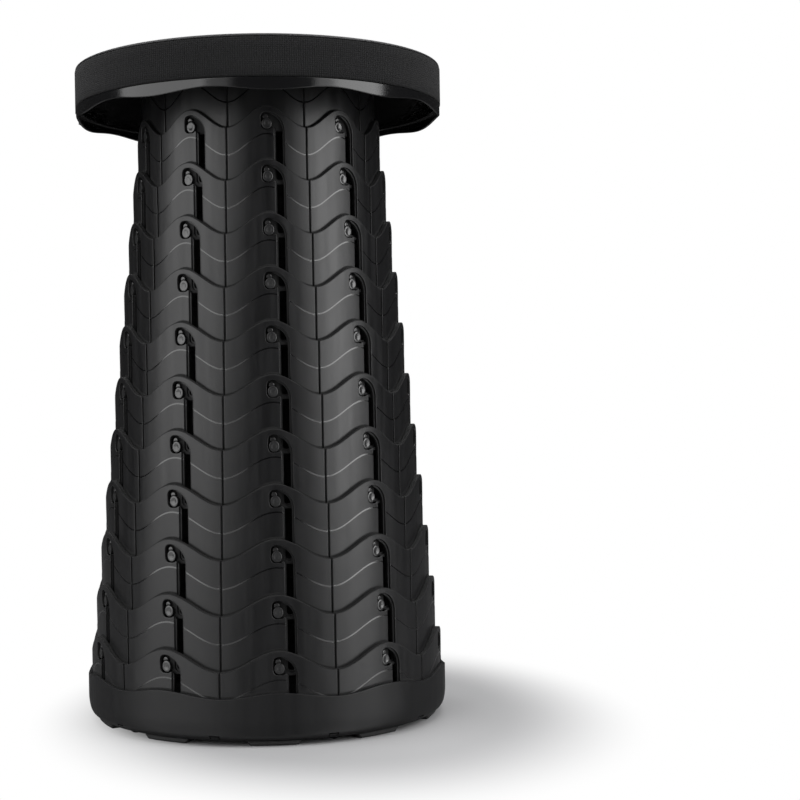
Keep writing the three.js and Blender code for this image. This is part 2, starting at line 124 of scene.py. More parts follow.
def calculate(tree, operation, *operands):
    """A math node's result; each operand is a number or another node's socket."""
    return node(tree, "ShaderNodeMath", dict(enumerate(operands)), operation=operation).outputs[0]


def ranged(tree, value, low, high, to_low=0, to_high=1, smooth=False):
    """A value between two numbers, as far along as the given one is between low and high."""
    ends = {"Value": value, "From Min": low, "From Max": high, "To Min": to_low, "To Max": to_high}
    kind = "SMOOTHSTEP" if smooth else "LINEAR"
    return node(tree, "ShaderNodeMapRange", ends, interpolation_type=kind).outputs["Result"]


def looked_at(tree):
    """1 where the camera or a clear piece looks straight at the surface, and 1 where a gloss does."""
    path = node(tree, "ShaderNodeLightPath").outputs
    seen = calculate(tree, "MAXIMUM", path["Is Camera Ray"], path["Is Transmission Ray"])
    return seen, path["Is Glossy Ray"]


def mixed_shader(tree, share, first, second):
    return node(tree, "ShaderNodeMixShader", {0: share, 1: first.outputs[0], 2: second.outputs[0]})


def add_floor():
    turns = [2 * math.pi * k / FLOOR_SIDES for k in range(FLOOR_SIDES)]
    rim = [(FLOOR_RADIUS * math.cos(turn), FLOOR_RADIUS * math.sin(turn), 0) for turn in turns]
    mesh = bpy.data.meshes.new("floor")
    mesh.from_pydata(rim, [], [tuple(range(FLOOR_SIDES))])
    floor = bpy.data.objects.new("floor", mesh)
    bpy.context.scene.collection.objects.link(floor)
    material = bpy.data.materials.new("studio_floor")
    material.use_nodes = True
    tree = material.node_tree
    tree.nodes.clear()
    place = node(tree, "ShaderNodeTexCoord").outputs["Object"]
    aside = node(tree, "ShaderNodeVectorMath", {0: place, 1: FADE_MIDDLE}, operation="SUBTRACT")
    oval = node(tree, "ShaderNodeVectorMath", {0: aside.outputs[0], 1: FADE_NARROW}, operation="MULTIPLY")
    far = node(tree, "ShaderNodeVectorMath", {0: oval.outputs[0]}, operation="LENGTH")
    fade = ranged(tree, far.outputs["Value"], FADE_START, FADE_END, smooth=True)
    seen, glossy = looked_at(tree)
    matt = node(tree, "ShaderNodeBsdfDiffuse", {"Color": FLOOR_COLOUR})
    sheen = node(tree, "ShaderNodeBsdfGlossy", {"Color": FLOOR_SHEEN, "Roughness": FLOOR_SHEEN_ROUGHNESS})
    plain = mixed_shader(tree, calculate(tree, "MULTIPLY", glossy, SHEEN_SHARE), matt, sheen)
    white = node(tree, "ShaderNodeEmission")
    look = mixed_shader(tree, calculate(tree, "MULTIPLY", fade, seen), plain, white)
    node(tree, "ShaderNodeOutputMaterial", {"Surface": look.outputs[0]})
    mesh.materials.append(material)


def add_surround():
    """White where it is looked at, dim as light, and dimmer still in a gloss."""
    world = bpy.data.worlds.new("surround")
    world.use_nodes = True
    tree = world.node_tree
    tree.nodes.clear()
    seen, glossy = looked_at(tree)
    glint = calculate(tree, "MULTIPLY", glossy, SURROUND_LIGHT - SURROUND_GLOSS)
    strength = calculate(tree, "SUBTRACT", SURROUND_LIGHT, glint)
    dim = node(tree, "ShaderNodeBackground", {"Color": WHITE, "Strength": strength})
    white = node(tree, "ShaderNodeBackground", {"Color": WHITE})
    node(tree, "ShaderNodeOutputWorld", {"Surface": mixed_shader(tree, seen, dim, white).outputs[0]})
    bpy.context.scene.world = world


def softbox(name, azimuth, distance, height, wide, tall, power):
    """A rectangular light at an azimuth round the stool, turned to the middle of its column."""
    data = bpy.data.lights.new(name, "AREA")
    data.shape = "RECTANGLE"
    data.size = wide
    data.size_y = tall
    data.energy = power
    lamp = bpy.data.objects.new(name, data)
    turn = math.radians(azimuth)
    lamp.location = (distance * math.sin(turn), -distance * math.cos(turn), height)
    lamp.rotation_euler = (LIGHT_AIM - lamp.location).to_track_quat("-Z", "Y").to_euler()
    bpy.context.scene.collection.objects.link(lamp)


add_floor()
add_surround()
softbox("left_light", azimuth=-64, distance=1.3, height=0.7, wide=1.45, tall=1.7, power=20.4)
softbox("right_light", azimuth=58, distance=1.3, height=0.75, wide=0.82, tall=1.7, power=20)
softbox("left_fill_light", azimuth=-29, distance=1.3, height=0.7, wide=0.42, tall=1.7, power=2.2)
softbox("right_fill_light", azimuth=35, distance=1.3, height=0.75, wide=0.22, tall=1.7, power=2.2)
softbox("top_light", azimuth=0, distance=0.3, height=1.8, wide=1.2, tall=1.2, power=9)
softbox("back_left_light", azimuth=-145, distance=1.1, height=1.5, wide=0.9, tall=0.9, power=8)
softbox("back_right_light", azimuth=145, distance=1.1, height=1.5, wide=0.9, tall=0.9, power=8)
bpy.context.scene.view_settings.view_transform = "Standard"


# Base tray. One black nylon moulding: a round floor with a rim that waves gently, a rounded
# lower edge with a small outlined tab under each seam, and a sunken middle underneath.
SECTORS = 10
TURN = 2 * math.pi
SECTOR = TURN / SECTORS
FLAT_SHARE = math.cos(TURN / 80)  # of a round wall's radius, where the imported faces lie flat
WELD = 0.001 * MM
TRAY_FLOOR = 3.2 * MM
TRAY_HUB_RADIUS = 70 * MM
TRAY_HUB_LIFT = 0.8 * MM
RIM_WALL = 2.32 * MM
RIM_WAVE = 3.8 * MM
RIM_ROUND = 0.35 * MM
RIM_TOE_INSET = 5 * MM
RIM_TOE_HEIGHT = 9.5 * MM
RIM_TOE_SHARE = 0.3  # of that inset and height, where the rounded lower edge bends
NOTCH_WIDTH = 6.6 * MM
NOTCH_HEIGHT = 3.6 * MM
NOTCH_GROOVE = 0.75 * MM
NOTCH_DEPTH = 4.5 * MM
BASE_TURN = math.radians(-1.8)  # feet and notches against the pins
BLACK_NYLON = (0.0052, 0.0052, 0.0056, 1)
WORN_NYLON = (0.0075, 0.0075, 0.008, 1)
MOTTLE = (0.3, 0.7)  # where the mottled noise counts as its least and its most
MARK_STRETCH = (1, 1, 0.06)  # draws the mottles out into upright flow marks
MARK_DENSITY = 170
RIM_GRAIN = 0.45 * MM
RIM_GRAIN_DEPTH = 0.05 * MM
RIM_GLOSS = (0.38, 0.5)
RIM_SHINE = 0.3


def rounded(corners, steps=4, closed=True):
    """An outline of (x, y, reach) corners, each one turned by a curve that starts at its reach."""
    outline = []
    count = len(corners)
    for i, (x, y, reach) in enumerate(corners):
        here = np.array((x, y))
        inner = closed or 0 < i < count - 1
        if not reach or not inner:
            outline.append(here)
            continue
        before = np.array(corners[i - 1][:2]) - here
        after = np.array(corners[(i + 1) % count][:2]) - here
        start = here + before * reach / np.linalg.norm(before)
        end = here + after * reach / np.linalg.norm(after)
        guard = 0.5 * reach
        if np.linalg.norm(before) > 3 * reach:
            outline.append(start + before * guard / np.linalg.norm(before))
        for k in range(steps + 1):
            t = k / steps
            outline.append(start * (1 - t) ** 2 + here * 2 * t * (1 - t) + end * t ** 2)
        if np.linalg.norm(after) > 3 * reach:
            outline.append(end + after * guard / np.linalg.norm(after))
    return np.array(outline)


def piece_of(name, mesh):
    piece = bpy.data.objects.new(name, mesh)
    bpy.context.scene.collection.objects.link(piece)
    return piece


def tidy_shell(mesh, near=WELD):
    """Welds a closed shell and turns its faces outwards."""
    shell = bmesh.new()
    shell.from_mesh(mesh)
    bmesh.ops.remove_doubles(shell, verts=shell.verts, dist=near)
    bmesh.ops.dissolve_degenerate(shell, edges=shell.edges, dist=near / 10)
    bmesh.ops.recalc_face_normals(shell, faces=shell.faces)
    shell.to_mesh(mesh)
    shell.free()


def turned(name, corners, segments=240, closed=True, lift=None):
    """A profile of (radius, height, reach) corners turned round the stool's axis."""
    profile = rounded(corners, closed=closed)
    azimuths = TURN * np.arange(segments) / segments
    radius, azimuth = np.meshgrid(profile[:, 0], azimuths)
    height = np.meshgrid(profile[:, 1], azimuths)[0]
    if lift:
        height = height + lift(height, azimuth)
    points = np.stack([radius * np.sin(azimuth), -radius * np.cos(azimuth), height], 2).reshape(-1, 3)
    rows = len(profile)
    faces = []
    for k in range(segments):
        here, there = k * rows, (k + 1) % segments * rows
        for i in range(rows if closed else rows - 1):
            j = (i + 1) % rows
            faces.append((here + i, there + i, there + j, here + j))
    mesh = bpy.data.meshes.new(name)
    mesh.from_pydata(points.tolist(), [], faces)
    tidy_shell(mesh)
    return mesh


def settled(piece):
    """Turns what a piece's modifiers make into its own plain mesh."""
    bpy.context.view_layer.update()
    seen = piece.evaluated_get(bpy.context.evaluated_depsgraph_get())
    mesh = bpy.data.meshes.new_from_object(seen)
    piece.modifiers.clear()
    piece.data = mesh
    return piece


def cut(mesh, tool):
    """The mesh with the tool's closed shells taken out of it."""
    body = piece_of("body", mesh)
    blade = piece_of("blade", tool)
    modifier = body.modifiers.new("cut", "BOOLEAN")
    modifier.operation = "DIFFERENCE"
    modifier.solver = "EXACT"
    modifier.object = blade
    result = settled(body).data
    bpy.data.objects.remove(body)
    bpy.data.objects.remove(blade)
    return result


def joined(name, meshes):
    """Several meshes as one."""
    whole = bmesh.new()
    for mesh in meshes:
        whole.from_mesh(mesh)
    result = bpy.data.meshes.new(name)
    whole.to_mesh(result)
    whole.free()
    return result


def block(name, corners_near, corners_far):
    """A closed prism between two outlines of equal length, each a list of points."""
    count = len(corners_near)
    faces = [tuple(range(count)), tuple(range(count, 2 * count))]
    faces += [(i, (i + 1) % count, count + (i + 1) % count, count + i) for i in range(count)]
    mesh = bpy.data.meshes.new(name)
    mesh.from_pydata([tuple(point) for point in (*corners_near, *corners_far)], [], faces)
    tidy_shell(mesh, WELD / 10)
    return mesh


def on_column(azimuth, radius, height, around=0.0):
    """A point at an azimuth, a distance from the axis and a height, moved sideways by around."""
    return Vector((
        radius * math.sin(azimuth) + around * math.cos(azimuth),
        -radius * math.cos(azimuth) + around * math.sin(azimuth),
        height,
    ))


def radial_block(name, outline, azimuth, height, near, far):
    """An outline of (sideways, up) points at a height, pushed outwards from near to far."""
    return block(name, *(
        [on_column(azimuth, radius, height + up, around) for around, up in outline]
        for radius in (near, far)
    ))


def finish_piece(piece, look, body, nodes, sharp=40):
    """Gives a finished piece its look, ties it to its body and hides the CAD nodes it stands for."""
    piece.data.materials.clear()
    piece.data.materials.append(look)
    piece.data.shade_smooth()
    piece.data.set_sharp_from_angle(angle=math.radians(sharp))
    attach(piece, body)
    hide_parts(*nodes)


def group_tree(name, inputs, outputs, kind="ShaderNodeTree"):
    """A node group and its given inputs: name, kind and value of each, and the outputs' names."""
    tree = bpy.data.node_groups.new(name, kind)
    for title, socket_type, value in inputs:
        socket = tree.interface.new_socket(title, in_out="INPUT", socket_type=socket_type)
        if value is not None:
            socket.default_value = value
    for title, socket_type in outputs:
        tree.interface.new_socket(title, in_out="OUTPUT", socket_type=socket_type)
    return tree, node(tree, "NodeGroupInput").outputs


def moulded_grain():
    """Fine noise of a moulded skin: a Height for its bump, and a Mottle that varies its gloss."""
    tree, given = group_tree(
        "moulded_grain",
        [("Vector", "NodeSocketVector", None), ("Grain Size", "NodeSocketFloat", 0.5 * MM)],
        [("Height", "NodeSocketFloat"), ("Mottle", "NodeSocketFloat")],
    )
    density = calculate(tree, "DIVIDE", 1.0, given["Grain Size"])
    fine = node(tree, "ShaderNodeTexNoise", {"Vector": given["Vector"], "Scale": density, "Detail": 3})
    drawn = node(tree, "ShaderNodeMapping", {"Vector": given["Vector"], "Scale": MARK_STRETCH})
    marks = {"Vector": drawn.outputs["Vector"], "Scale": MARK_DENSITY, "Detail": 5, "Roughness": 0.6}
    broad = node(tree, "ShaderNodeTexNoise", marks)
    node(tree, "NodeGroupOutput", {"Height": fine.outputs["Fac"], "Mottle": broad.outputs["Fac"]})
    return tree


GRAIN = moulded_grain()


def new_material(name, inputs):
    """A material, its tree, its Principled shader with some inputs set, and Object coordinates."""
    material = bpy.data.materials.new(name)
    material.use_nodes = True
    tree = material.node_tree
    shader = tree.nodes["Principled BSDF"]
    for title, value in inputs.items():
        shader.inputs[title].default_value = value
    return material, tree, shader, node(tree, "ShaderNodeTexCoord").outputs["Object"]


def blended(tree, amount, dark, light):
    """A colour that goes from dark to light with the amount."""
    colours = {"Factor": amount, "A": dark, "B": light}
    return node(tree, "ShaderNodeMix", colours, data_type="RGBA").outputs["Result"]


def bumped(tree, shader, height, distance):
    bump = node(tree, "ShaderNodeBump", {"Height": height, "Distance": distance})
    feed(tree, shader.inputs["Normal"], bump.outputs["Normal"])


def grain_in(tree, vector, size):
    return node(tree, "ShaderNodeGroup", {"Vector": vector, "Grain Size": size}, node_tree=GRAIN).outputs


def grained(tree, shader, place, size, depth, gloss):
    """Gives a shader moulded grain, and a roughness that varies between the two of its gloss."""
    grain = grain_in(tree, place, size)
    feed(tree, shader.inputs["Roughness"], ranged(tree, grain["Mottle"], *MOTTLE, *gloss))
    bumped(tree, shader, grain["Height"], depth)
    return grain


def rim_nylon():
    material, tree, shader, place = new_material("rim_nylon", {"Specular IOR Level": RIM_SHINE})
    grain = grained(tree, shader, place, RIM_GRAIN, RIM_GRAIN_DEPTH, RIM_GLOSS)
    worn = ranged(tree, grain["Mottle"], *MOTTLE)
    feed(tree, shader.inputs["Base Color"], blended(tree, worn, BLACK_NYLON, WORN_NYLON))
    return material


def wave(azimuth):
    """0 at a pin and 1 at a seam."""
    return (1 - np.cos(SECTORS * azimuth)) / 2


def add_tray():
    low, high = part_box("base_tray")
    outer = high.x / FLAT_SHARE
    inner = outer - RIM_WALL
    middle = (low.z + high.z) / 2
    corners = [
        (0, low.z + TRAY_HUB_LIFT, 0),
        (TRAY_HUB_RADIUS, low.z + TRAY_HUB_LIFT, 0.5 * MM),
        (TRAY_HUB_RADIUS + 2 * TRAY_HUB_LIFT, low.z, 0.5 * MM),
        (outer - RIM_TOE_INSET, low.z, 1.2 * MM),
        (outer - RIM_TOE_INSET * RIM_TOE_SHARE, low.z + RIM_TOE_HEIGHT * RIM_TOE_SHARE, 2.2 * MM),
        (outer, low.z + RIM_TOE_HEIGHT, 3.5 * MM),
        (outer, high.z, RIM_ROUND),
        (inner, high.z, RIM_ROUND),
        (inner, low.z + TRAY_FLOOR, 0.8 * MM),
        (0, low.z + TRAY_FLOOR, 0),
    ]
    lift = lambda height, azimuth: -RIM_WAVE * wave(azimuth) * (height > middle)
    tray = turned("base_tray_look", corners, segments=320, closed=False, lift=lift)
    wide = NOTCH_WIDTH / 2
    tab = wide - NOTCH_GROOVE
    brow = NOTCH_HEIGHT - NOTCH_GROOVE
    arch = ((-wide, -brow), (-tab, -brow), (-tab, brow), (tab, brow), (tab, -brow), (wide, -brow),
            (wide, NOTCH_HEIGHT), (-wide, NOTCH_HEIGHT))
    seams = [(k + 0.5) * SECTOR + BASE_TURN for k in range(SECTORS)]
    notches = joined("notches", [
        radial_block("notch", arch, seam, low.z, outer - NOTCH_DEPTH, outer + NOTCH_DEPTH)
        for seam in seams
    ])
    piece = piece_of("base_tray_look", cut(tray, notches))
    finish_piece(piece, rim_nylon(), "base", ["base_tray"])


add_tray()


# Feet. Ten black rubber pads stand under the base's rim, one below each row of pins, each a
# short bent bar with chamfered ends.
FOOT_BREADTH = 12.7 * MM
FOOT_CHAMFER = 1.1 * MM
FOOT_END = 0.62  # of a pad's height, missing under its two ends
FOOT_ROUND = 0.3 * MM
FOOT_STEPS = 16
FOOT_GRAIN = 0.3 * MM
FOOT_GRAIN_DEPTH = 0.06 * MM
FOOT_GLOSS = (0.7, 0.88)
BLACK_RUBBER = (0.011, 0.011, 0.0115, 1)
DUSTY_RUBBER = (0.02, 0.02, 0.02, 1)
DUST = 0.7


def foot_rubber():
    material, tree, shader, place = new_material("foot_rubber", {})
    grain = grained(tree, shader, place, FOOT_GRAIN, FOOT_GRAIN_DEPTH, FOOT_GLOSS)
    dust = ranged(tree, grain["Height"], 0.5, 0.8, 0, DUST)
    feed(tree, shader.inputs["Base Color"], blended(tree, dust, BLACK_RUBBER, DUSTY_RUBBER))
    return material


def soft_edged(piece, width, segments):
    """Rounds a piece's sharp edges."""
    bevel = piece.modifiers.new("soft_edges", "BEVEL")
    bevel.width = width
    bevel.segments = segments
    bevel.limit_method = "ANGLE"
    return settled(piece)


def add_feet():
    rubber = foot_rubber()
    low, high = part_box("foot_01")
    outer = -low.y
    inner = outer - FOOT_BREADTH
    reach = (high.x - low.x) / 2 / outer
    depth = high.z - low.z
    for k in range(SECTORS):
        centre = k * SECTOR + BASE_TURN
        shell = bmesh.new()
        rows = []
        for i in range(FOOT_STEPS + 1):
            azimuth = centre + reach * (2 * i / FOOT_STEPS - 1)
            foot = low.z + (depth * FOOT_END if i in (0, FOOT_STEPS) else 0)
            section = [
                (inner, high.z), (inner, foot + FOOT_CHAMFER / 2), (inner + FOOT_CHAMFER, foot),
                (outer - FOOT_CHAMFER, foot), (outer, foot + FOOT_CHAMFER), (outer, high.z),
            ]
            rows.append([shell.verts.new(on_column(azimuth, radius, height)) for radius, height in section])
        for first, second in zip(rows, rows[1:]):
            for i in range(len(first)):
                j = (i + 1) % len(first)
                shell.faces.new((first[i], second[i], second[j], first[j]))
        shell.faces.new(rows[0])
        shell.faces.new(list(reversed(rows[-1])))
        bmesh.ops.recalc_face_normals(shell, faces=shell.faces)
        name = f"foot_{k + 1:02d}"
        mesh = bpy.data.meshes.new(name + "_look")
        shell.to_mesh(mesh)
        shell.free()
        piece = soft_edged(piece_of(name + "_look", mesh), FOOT_ROUND, 2)
        finish_piece(piece, rubber, "base", [name])


add_feet()


# Rings of the column. Each is a black nylon band whose top edge rises in a round lobe over each
# pin. An arched slot runs down beside the pocket where the inner ring's pin stands. A fine
# polished step repeats the wave lower down, and a seam marks each trough.
# The rings carry painted shade: near black in their hollows, along their waved edges and on the step's
# core.
RING_COUNT = 12
RING_WALL = 3.26 * MM
STAGE_TRAVEL = 34.35 * MM
CREST_ABOVE_PIN = 11 * MM
WAVE_DEPTH = 13.1 * MM
SEAM = 1.25 * MM
SEAM_DEPTH = 1.0 * MM
EDGE_ROUND = 0.26 * MM
EDGE_GUARD = 0.3 * MM  # keeps the shading of a rounded edge off the face beside it
BACK_ROUND = 0.3 * MM
SKIN_DEPTH = 1.1 * EDGE_ROUND  # what lies less deep belongs to the outer skin
LINE_BELOW_EDGE = 17.7 * MM
STEP_WIDTH = 0.85 * MM
STEP_DROP = 0.13 * MM
STEP_FADE = 11 * MM  # the height over which the skin comes back out above the step
LAP_SHADE = 0.9 * MM
LAP_FADE = 0.7 * MM
BRIM_SHADE = 0.75 * MM  # painted shade, on a ring's skin beside its waved edge
SLOT_LEFT = 4.7 * MM
SLOT_RIGHT = 11.7 * MM
SLOT_CLOSED = 3.0 * MM  # its closed end below the centre of the next row's pins
SLOT_ROUND = 0.98  # of half the slot's width, for its closed end
LEDGE_WIDTH = 1.1 * MM
LEDGE_DEPTH = 1.3 * MM
LEDGE_SHADE = 0.35
LEDGE_ARCH = (0.5 * MM, 3.5 * MM)  # where the ledge starts over the arch, and its run to full width
LEDGE_SIDE = (3.2 * MM, 1.5 * MM)  # the same down the slot's left side
ARCH_ABOVE = -1 * MM  # an outline's points above this belong to the arch
SIDES_BEYOND = (4.2 * MM, 8 * MM)  # and those right of these to the slot's left and right side
POCKET = 4.0 * MM
POCKET_TOP = 7.5 * MM
POCKET_STEP = 2.6 * MM  # where the pocket's floor turns down into the slot
POCKET_ROUNDS = (3.7 * MM, 3.8 * MM)
ARCH_START = (0.2 * MM, -4.9 * MM)
ARCH_STEPS = 16
PIN_PROFILE = [
    (0 * MM, 2.24 * MM), (1.4 * MM, 2.24 * MM), (1.8 * MM, 2.46 * MM), (2.8 * MM, 2.46 * MM),
    (3.02 * MM, 2.36 * MM), (3.1 * MM, 2.1 * MM), (3.1 * MM, -0.6 * MM),
]
PIN_TALL = 1.12
PIN_CORNERS = 28
PIN_SIDE = 1.0 * MM  # how far out of the wall a pin's side counts as a hollow painted in shade
STUD_PLACE = (-0.75 * MM, 4.2 * MM)
STUD_PROFILE = [
    (0 * MM, 2.05 * MM), (0.45 * MM, 2.05 * MM), (0.9 * MM, 2.05 * MM), (1.35 * MM, 2.05 * MM),
    (1.6 * MM, 1.95 * MM), (1.75 * MM, 1.7 * MM), (1.75 * MM, -0.6 * MM),
]
STUD_SHADE = 0.75 * MM  # painted shade: a dark line between a pin's face and its stud
CHANNEL_HALF = 3.5 * MM
CHANNEL_SKIN = 0.9 * MM
CHANNEL_TOP = 3 * MM  # below the centre of the ring's pocket
CHANNEL_LEFT = 2.3 * MM  # of the last ring's foot, below its channel
OVERCUT = 2 * MM  # how far a cutter passes the face it opens
FLANGE = 2 * MM
FLANGE_REACH = 13 * MM
GRID = 2.5 * MM  # spacing of the points inside a wall's faces
GRID_CLEAR = 0.45  # of that spacing, kept free beside outlines
LINE_CLEAR = 0.45 * MM
OUTLINE_SPACING = 0.8 * MM
CROWN_SPACING = 1.0 * MM
SIDE_SPACING = 2 * MM
FOOT_SPACING = 2.2 * MM
STEP_SPACING = 1.4 * MM
# Painted shade: the near black put into hollows, along edges and on the step's core.
PAINTED_SHADE_BLACK = (0.0018, 0.0018, 0.002, 1)
PIN_GREY = (0.015, 0.015, 0.0155, 1)
RING_GRAIN = 0.5 * MM
RING_GRAIN_DEPTH = 0.035 * MM
RING_GLOSS = (0.28, 0.41)
RING_SHINE = 0.43
DULLED = 0.45  # roughness gained in hollows and along edges
POLISHED = 0.15  # roughness lost along the fine step
POLISH_COAT = 0.7
POLISH_COAT_ROUGHNESS = 0.16


def resampled(points, spacing):
    """A closed outline with its points moved to an even spacing."""
    loop = np.vstack([points, points[:1]])
    run = np.concatenate([[0], np.cumsum(np.linalg.norm(np.diff(loop, axis=0), axis=1))])
    stops = np.linspace(0, run[-1], int(run[-1] / spacing) + 1)[:-1]
    return np.stack([np.interp(stops, run, loop[:, axis]) for axis in (0, 1)], 1)


def leftwards(loop):
    """Unit moves to the left of a closed outline's run, stretched at its corners."""
    ahead = np.roll(loop, -1, 0) - loop
    behind = loop - np.roll(loop, 1, 0)
    ahead /= np.linalg.norm(ahead, axis=1)[:, None]
    behind /= np.linalg.norm(behind, axis=1)[:, None]
    mean = ahead + behind
    mean /= np.linalg.norm(mean, axis=1)[:, None]
    cosine = np.clip((mean * ahead).sum(1), 0.6, 1)
    return np.stack([-mean[:, 1], mean[:, 0]], 1) / cosine[:, None]


def opening_outline(slot_end):
    """Pocket, arch and slot, run so that the ring's wall lies on the left."""
    width = SLOT_RIGHT - ARCH_START[0]
    height = POCKET_TOP - ARCH_START[1]
    arch = [
        (ARCH_START[0] + width * math.sin(t), ARCH_START[1] + height * math.cos(t), 0)
        for t in np.linspace(0, math.pi / 2, ARCH_STEPS)
    ]
    slot_round = (SLOT_RIGHT - SLOT_LEFT) / 2 * SLOT_ROUND
    corners = [
        (SLOT_LEFT, slot_end, slot_round),
        (SLOT_LEFT, -POCKET_STEP, 0.7 * MM),
        (POCKET_STEP, -POCKET, 1.1 * MM),
        (-POCKET, -POCKET, POCKET_ROUNDS[0]),
        (-POCKET, POCKET_TOP, POCKET_ROUNDS[1]),
        *arch,
        (SLOT_RIGHT, slot_end, slot_round),
    ]
    return resampled(rounded(corners, steps=8), OUTLINE_SPACING)


def ledge_share(u, v):
    """How much of the slot's inner ledge there is at each point of the opening's outline."""
    arch = np.clip((u - LEDGE_ARCH[0]) / LEDGE_ARCH[1], 0, 1)
    side = np.clip((-v - LEDGE_SIDE[0]) / LEDGE_SIDE[1], 0, 1) * (u > SIDES_BEYOND[0])
    return np.where(v > ARCH_ABOVE, arch, np.where(u > SIDES_BEYOND[1], 1.0, side))


def crest_height(azimuth):
    """Height of a ring's waved edge above its row of pins."""
    return CREST_ABOVE_PIN - WAVE_DEPTH * wave(azimuth)


def spaced(low, high, spacing):
    return np.linspace(low, high, int((high - low) / spacing) + 1)


def wall_outline(radius, foot, waved, top):
    """Outline of one sector of a ring, run with its wall on the left, and where its seams are."""
    half = radius * SECTOR / 2 - SEAM / 2
    across = spaced(-half, half, CROWN_SPACING)
    crown = crest_height(across / radius) if waved else np.full(len(across), top)
    side = spaced(foot, crown[-1], SIDE_SPACING)
    bottom = spaced(-half, half, FOOT_SPACING)
    loop = np.vstack([
        np.stack([bottom, np.full(len(bottom), foot)], 1),
        np.stack([np.full(len(side) - 1, half), side[1:]], 1),
        np.stack([across[::-1][1:], crown[::-1][1:]], 1),
        np.stack([np.full(len(side) - 2, -half), side[::-1][1:-1]], 1),
    ])
    return loop, np.isclose(np.abs(loop[:, 0]), half)


def flat_points(loop, depth):
    return np.column_stack([loop, np.full(len(loop), depth)])


def step_rows(half):
    """Lines of points along both edges of the step and just outside them."""
    across = spaced(-half, half, STEP_SPACING)
    line = crest_height(across * SECTOR / 2 / half) - LINE_BELOW_EDGE
    edge = STEP_WIDTH / 2
    offsets = (-edge - EDGE_GUARD, -edge, edge, edge + EDGE_GUARD)
    return [np.stack([across, line + off], 1) for off in offsets]


def distances(points, others):
    """How far each point is from the nearest of the others."""
    return np.sqrt(((points[:, None] - others[None]) ** 2).sum(2)).min(1)


def skin(loops, inside, lines=()):
    """Triangles between closed outlines, on a grid of further points that keeps off them."""
    low = loops[0].min(0)
    high = loops[0].max(0)
    columns = spaced(low[0], high[0], GRID)
    rows = spaced(low[1], high[1], GRID)
    grid = np.stack(np.meshgrid(columns, rows), 2).reshape(-1, 2)
    outlines = np.vstack(loops)
    border = outlines
    edges = []
    start = 0
    for loop in loops:
        edges += [(start + i, start + (i + 1) % len(loop)) for i in range(len(loop))]
        start += len(loop)
    for line in lines:
        clear = (distances(line, outlines) > LINE_CLEAR) & inside(line)
        edges += [(start + i, start + i + 1) for i in range(len(line) - 1) if clear[i] and clear[i + 1]]
        border = np.vstack([border, np.where(clear[:, None], line, border[:1])])
        start += len(line)
    grid = grid[(distances(grid, border) > GRID_CLEAR * GRID) & inside(grid)]
    scale = 1 / MM
    spots = [Vector(p) for p in (np.vstack([border, grid]) * scale).tolist()]
    points, _, triangles, *_ = delaunay_2d_cdt(spots, edges, [], 0, 1e-6)
    points = np.array([tuple(p) for p in points]) / scale
    centres = points[np.array([list(t) for t in triangles])].mean(1)
    return points, [tuple(t) for t, keep in zip(triangles, inside(centres)) if keep]


def within(loop, points):
    """Which points lie inside a closed outline."""
    x, y = points[:, 0, None], points[:, 1, None]
    ax, ay = loop[None, :, 0], loop[None, :, 1]
    bx, by = np.roll(loop[:, 0], -1)[None], np.roll(loop[:, 1], -1)[None]
    spans = (ay > y) != (by > y)
    rise = np.where(by == ay, 1e-12, by - ay)
    crossing = x < (bx - ax) * (y - ay) / rise + ax
    return (spans & crossing).sum(1) % 2 == 1


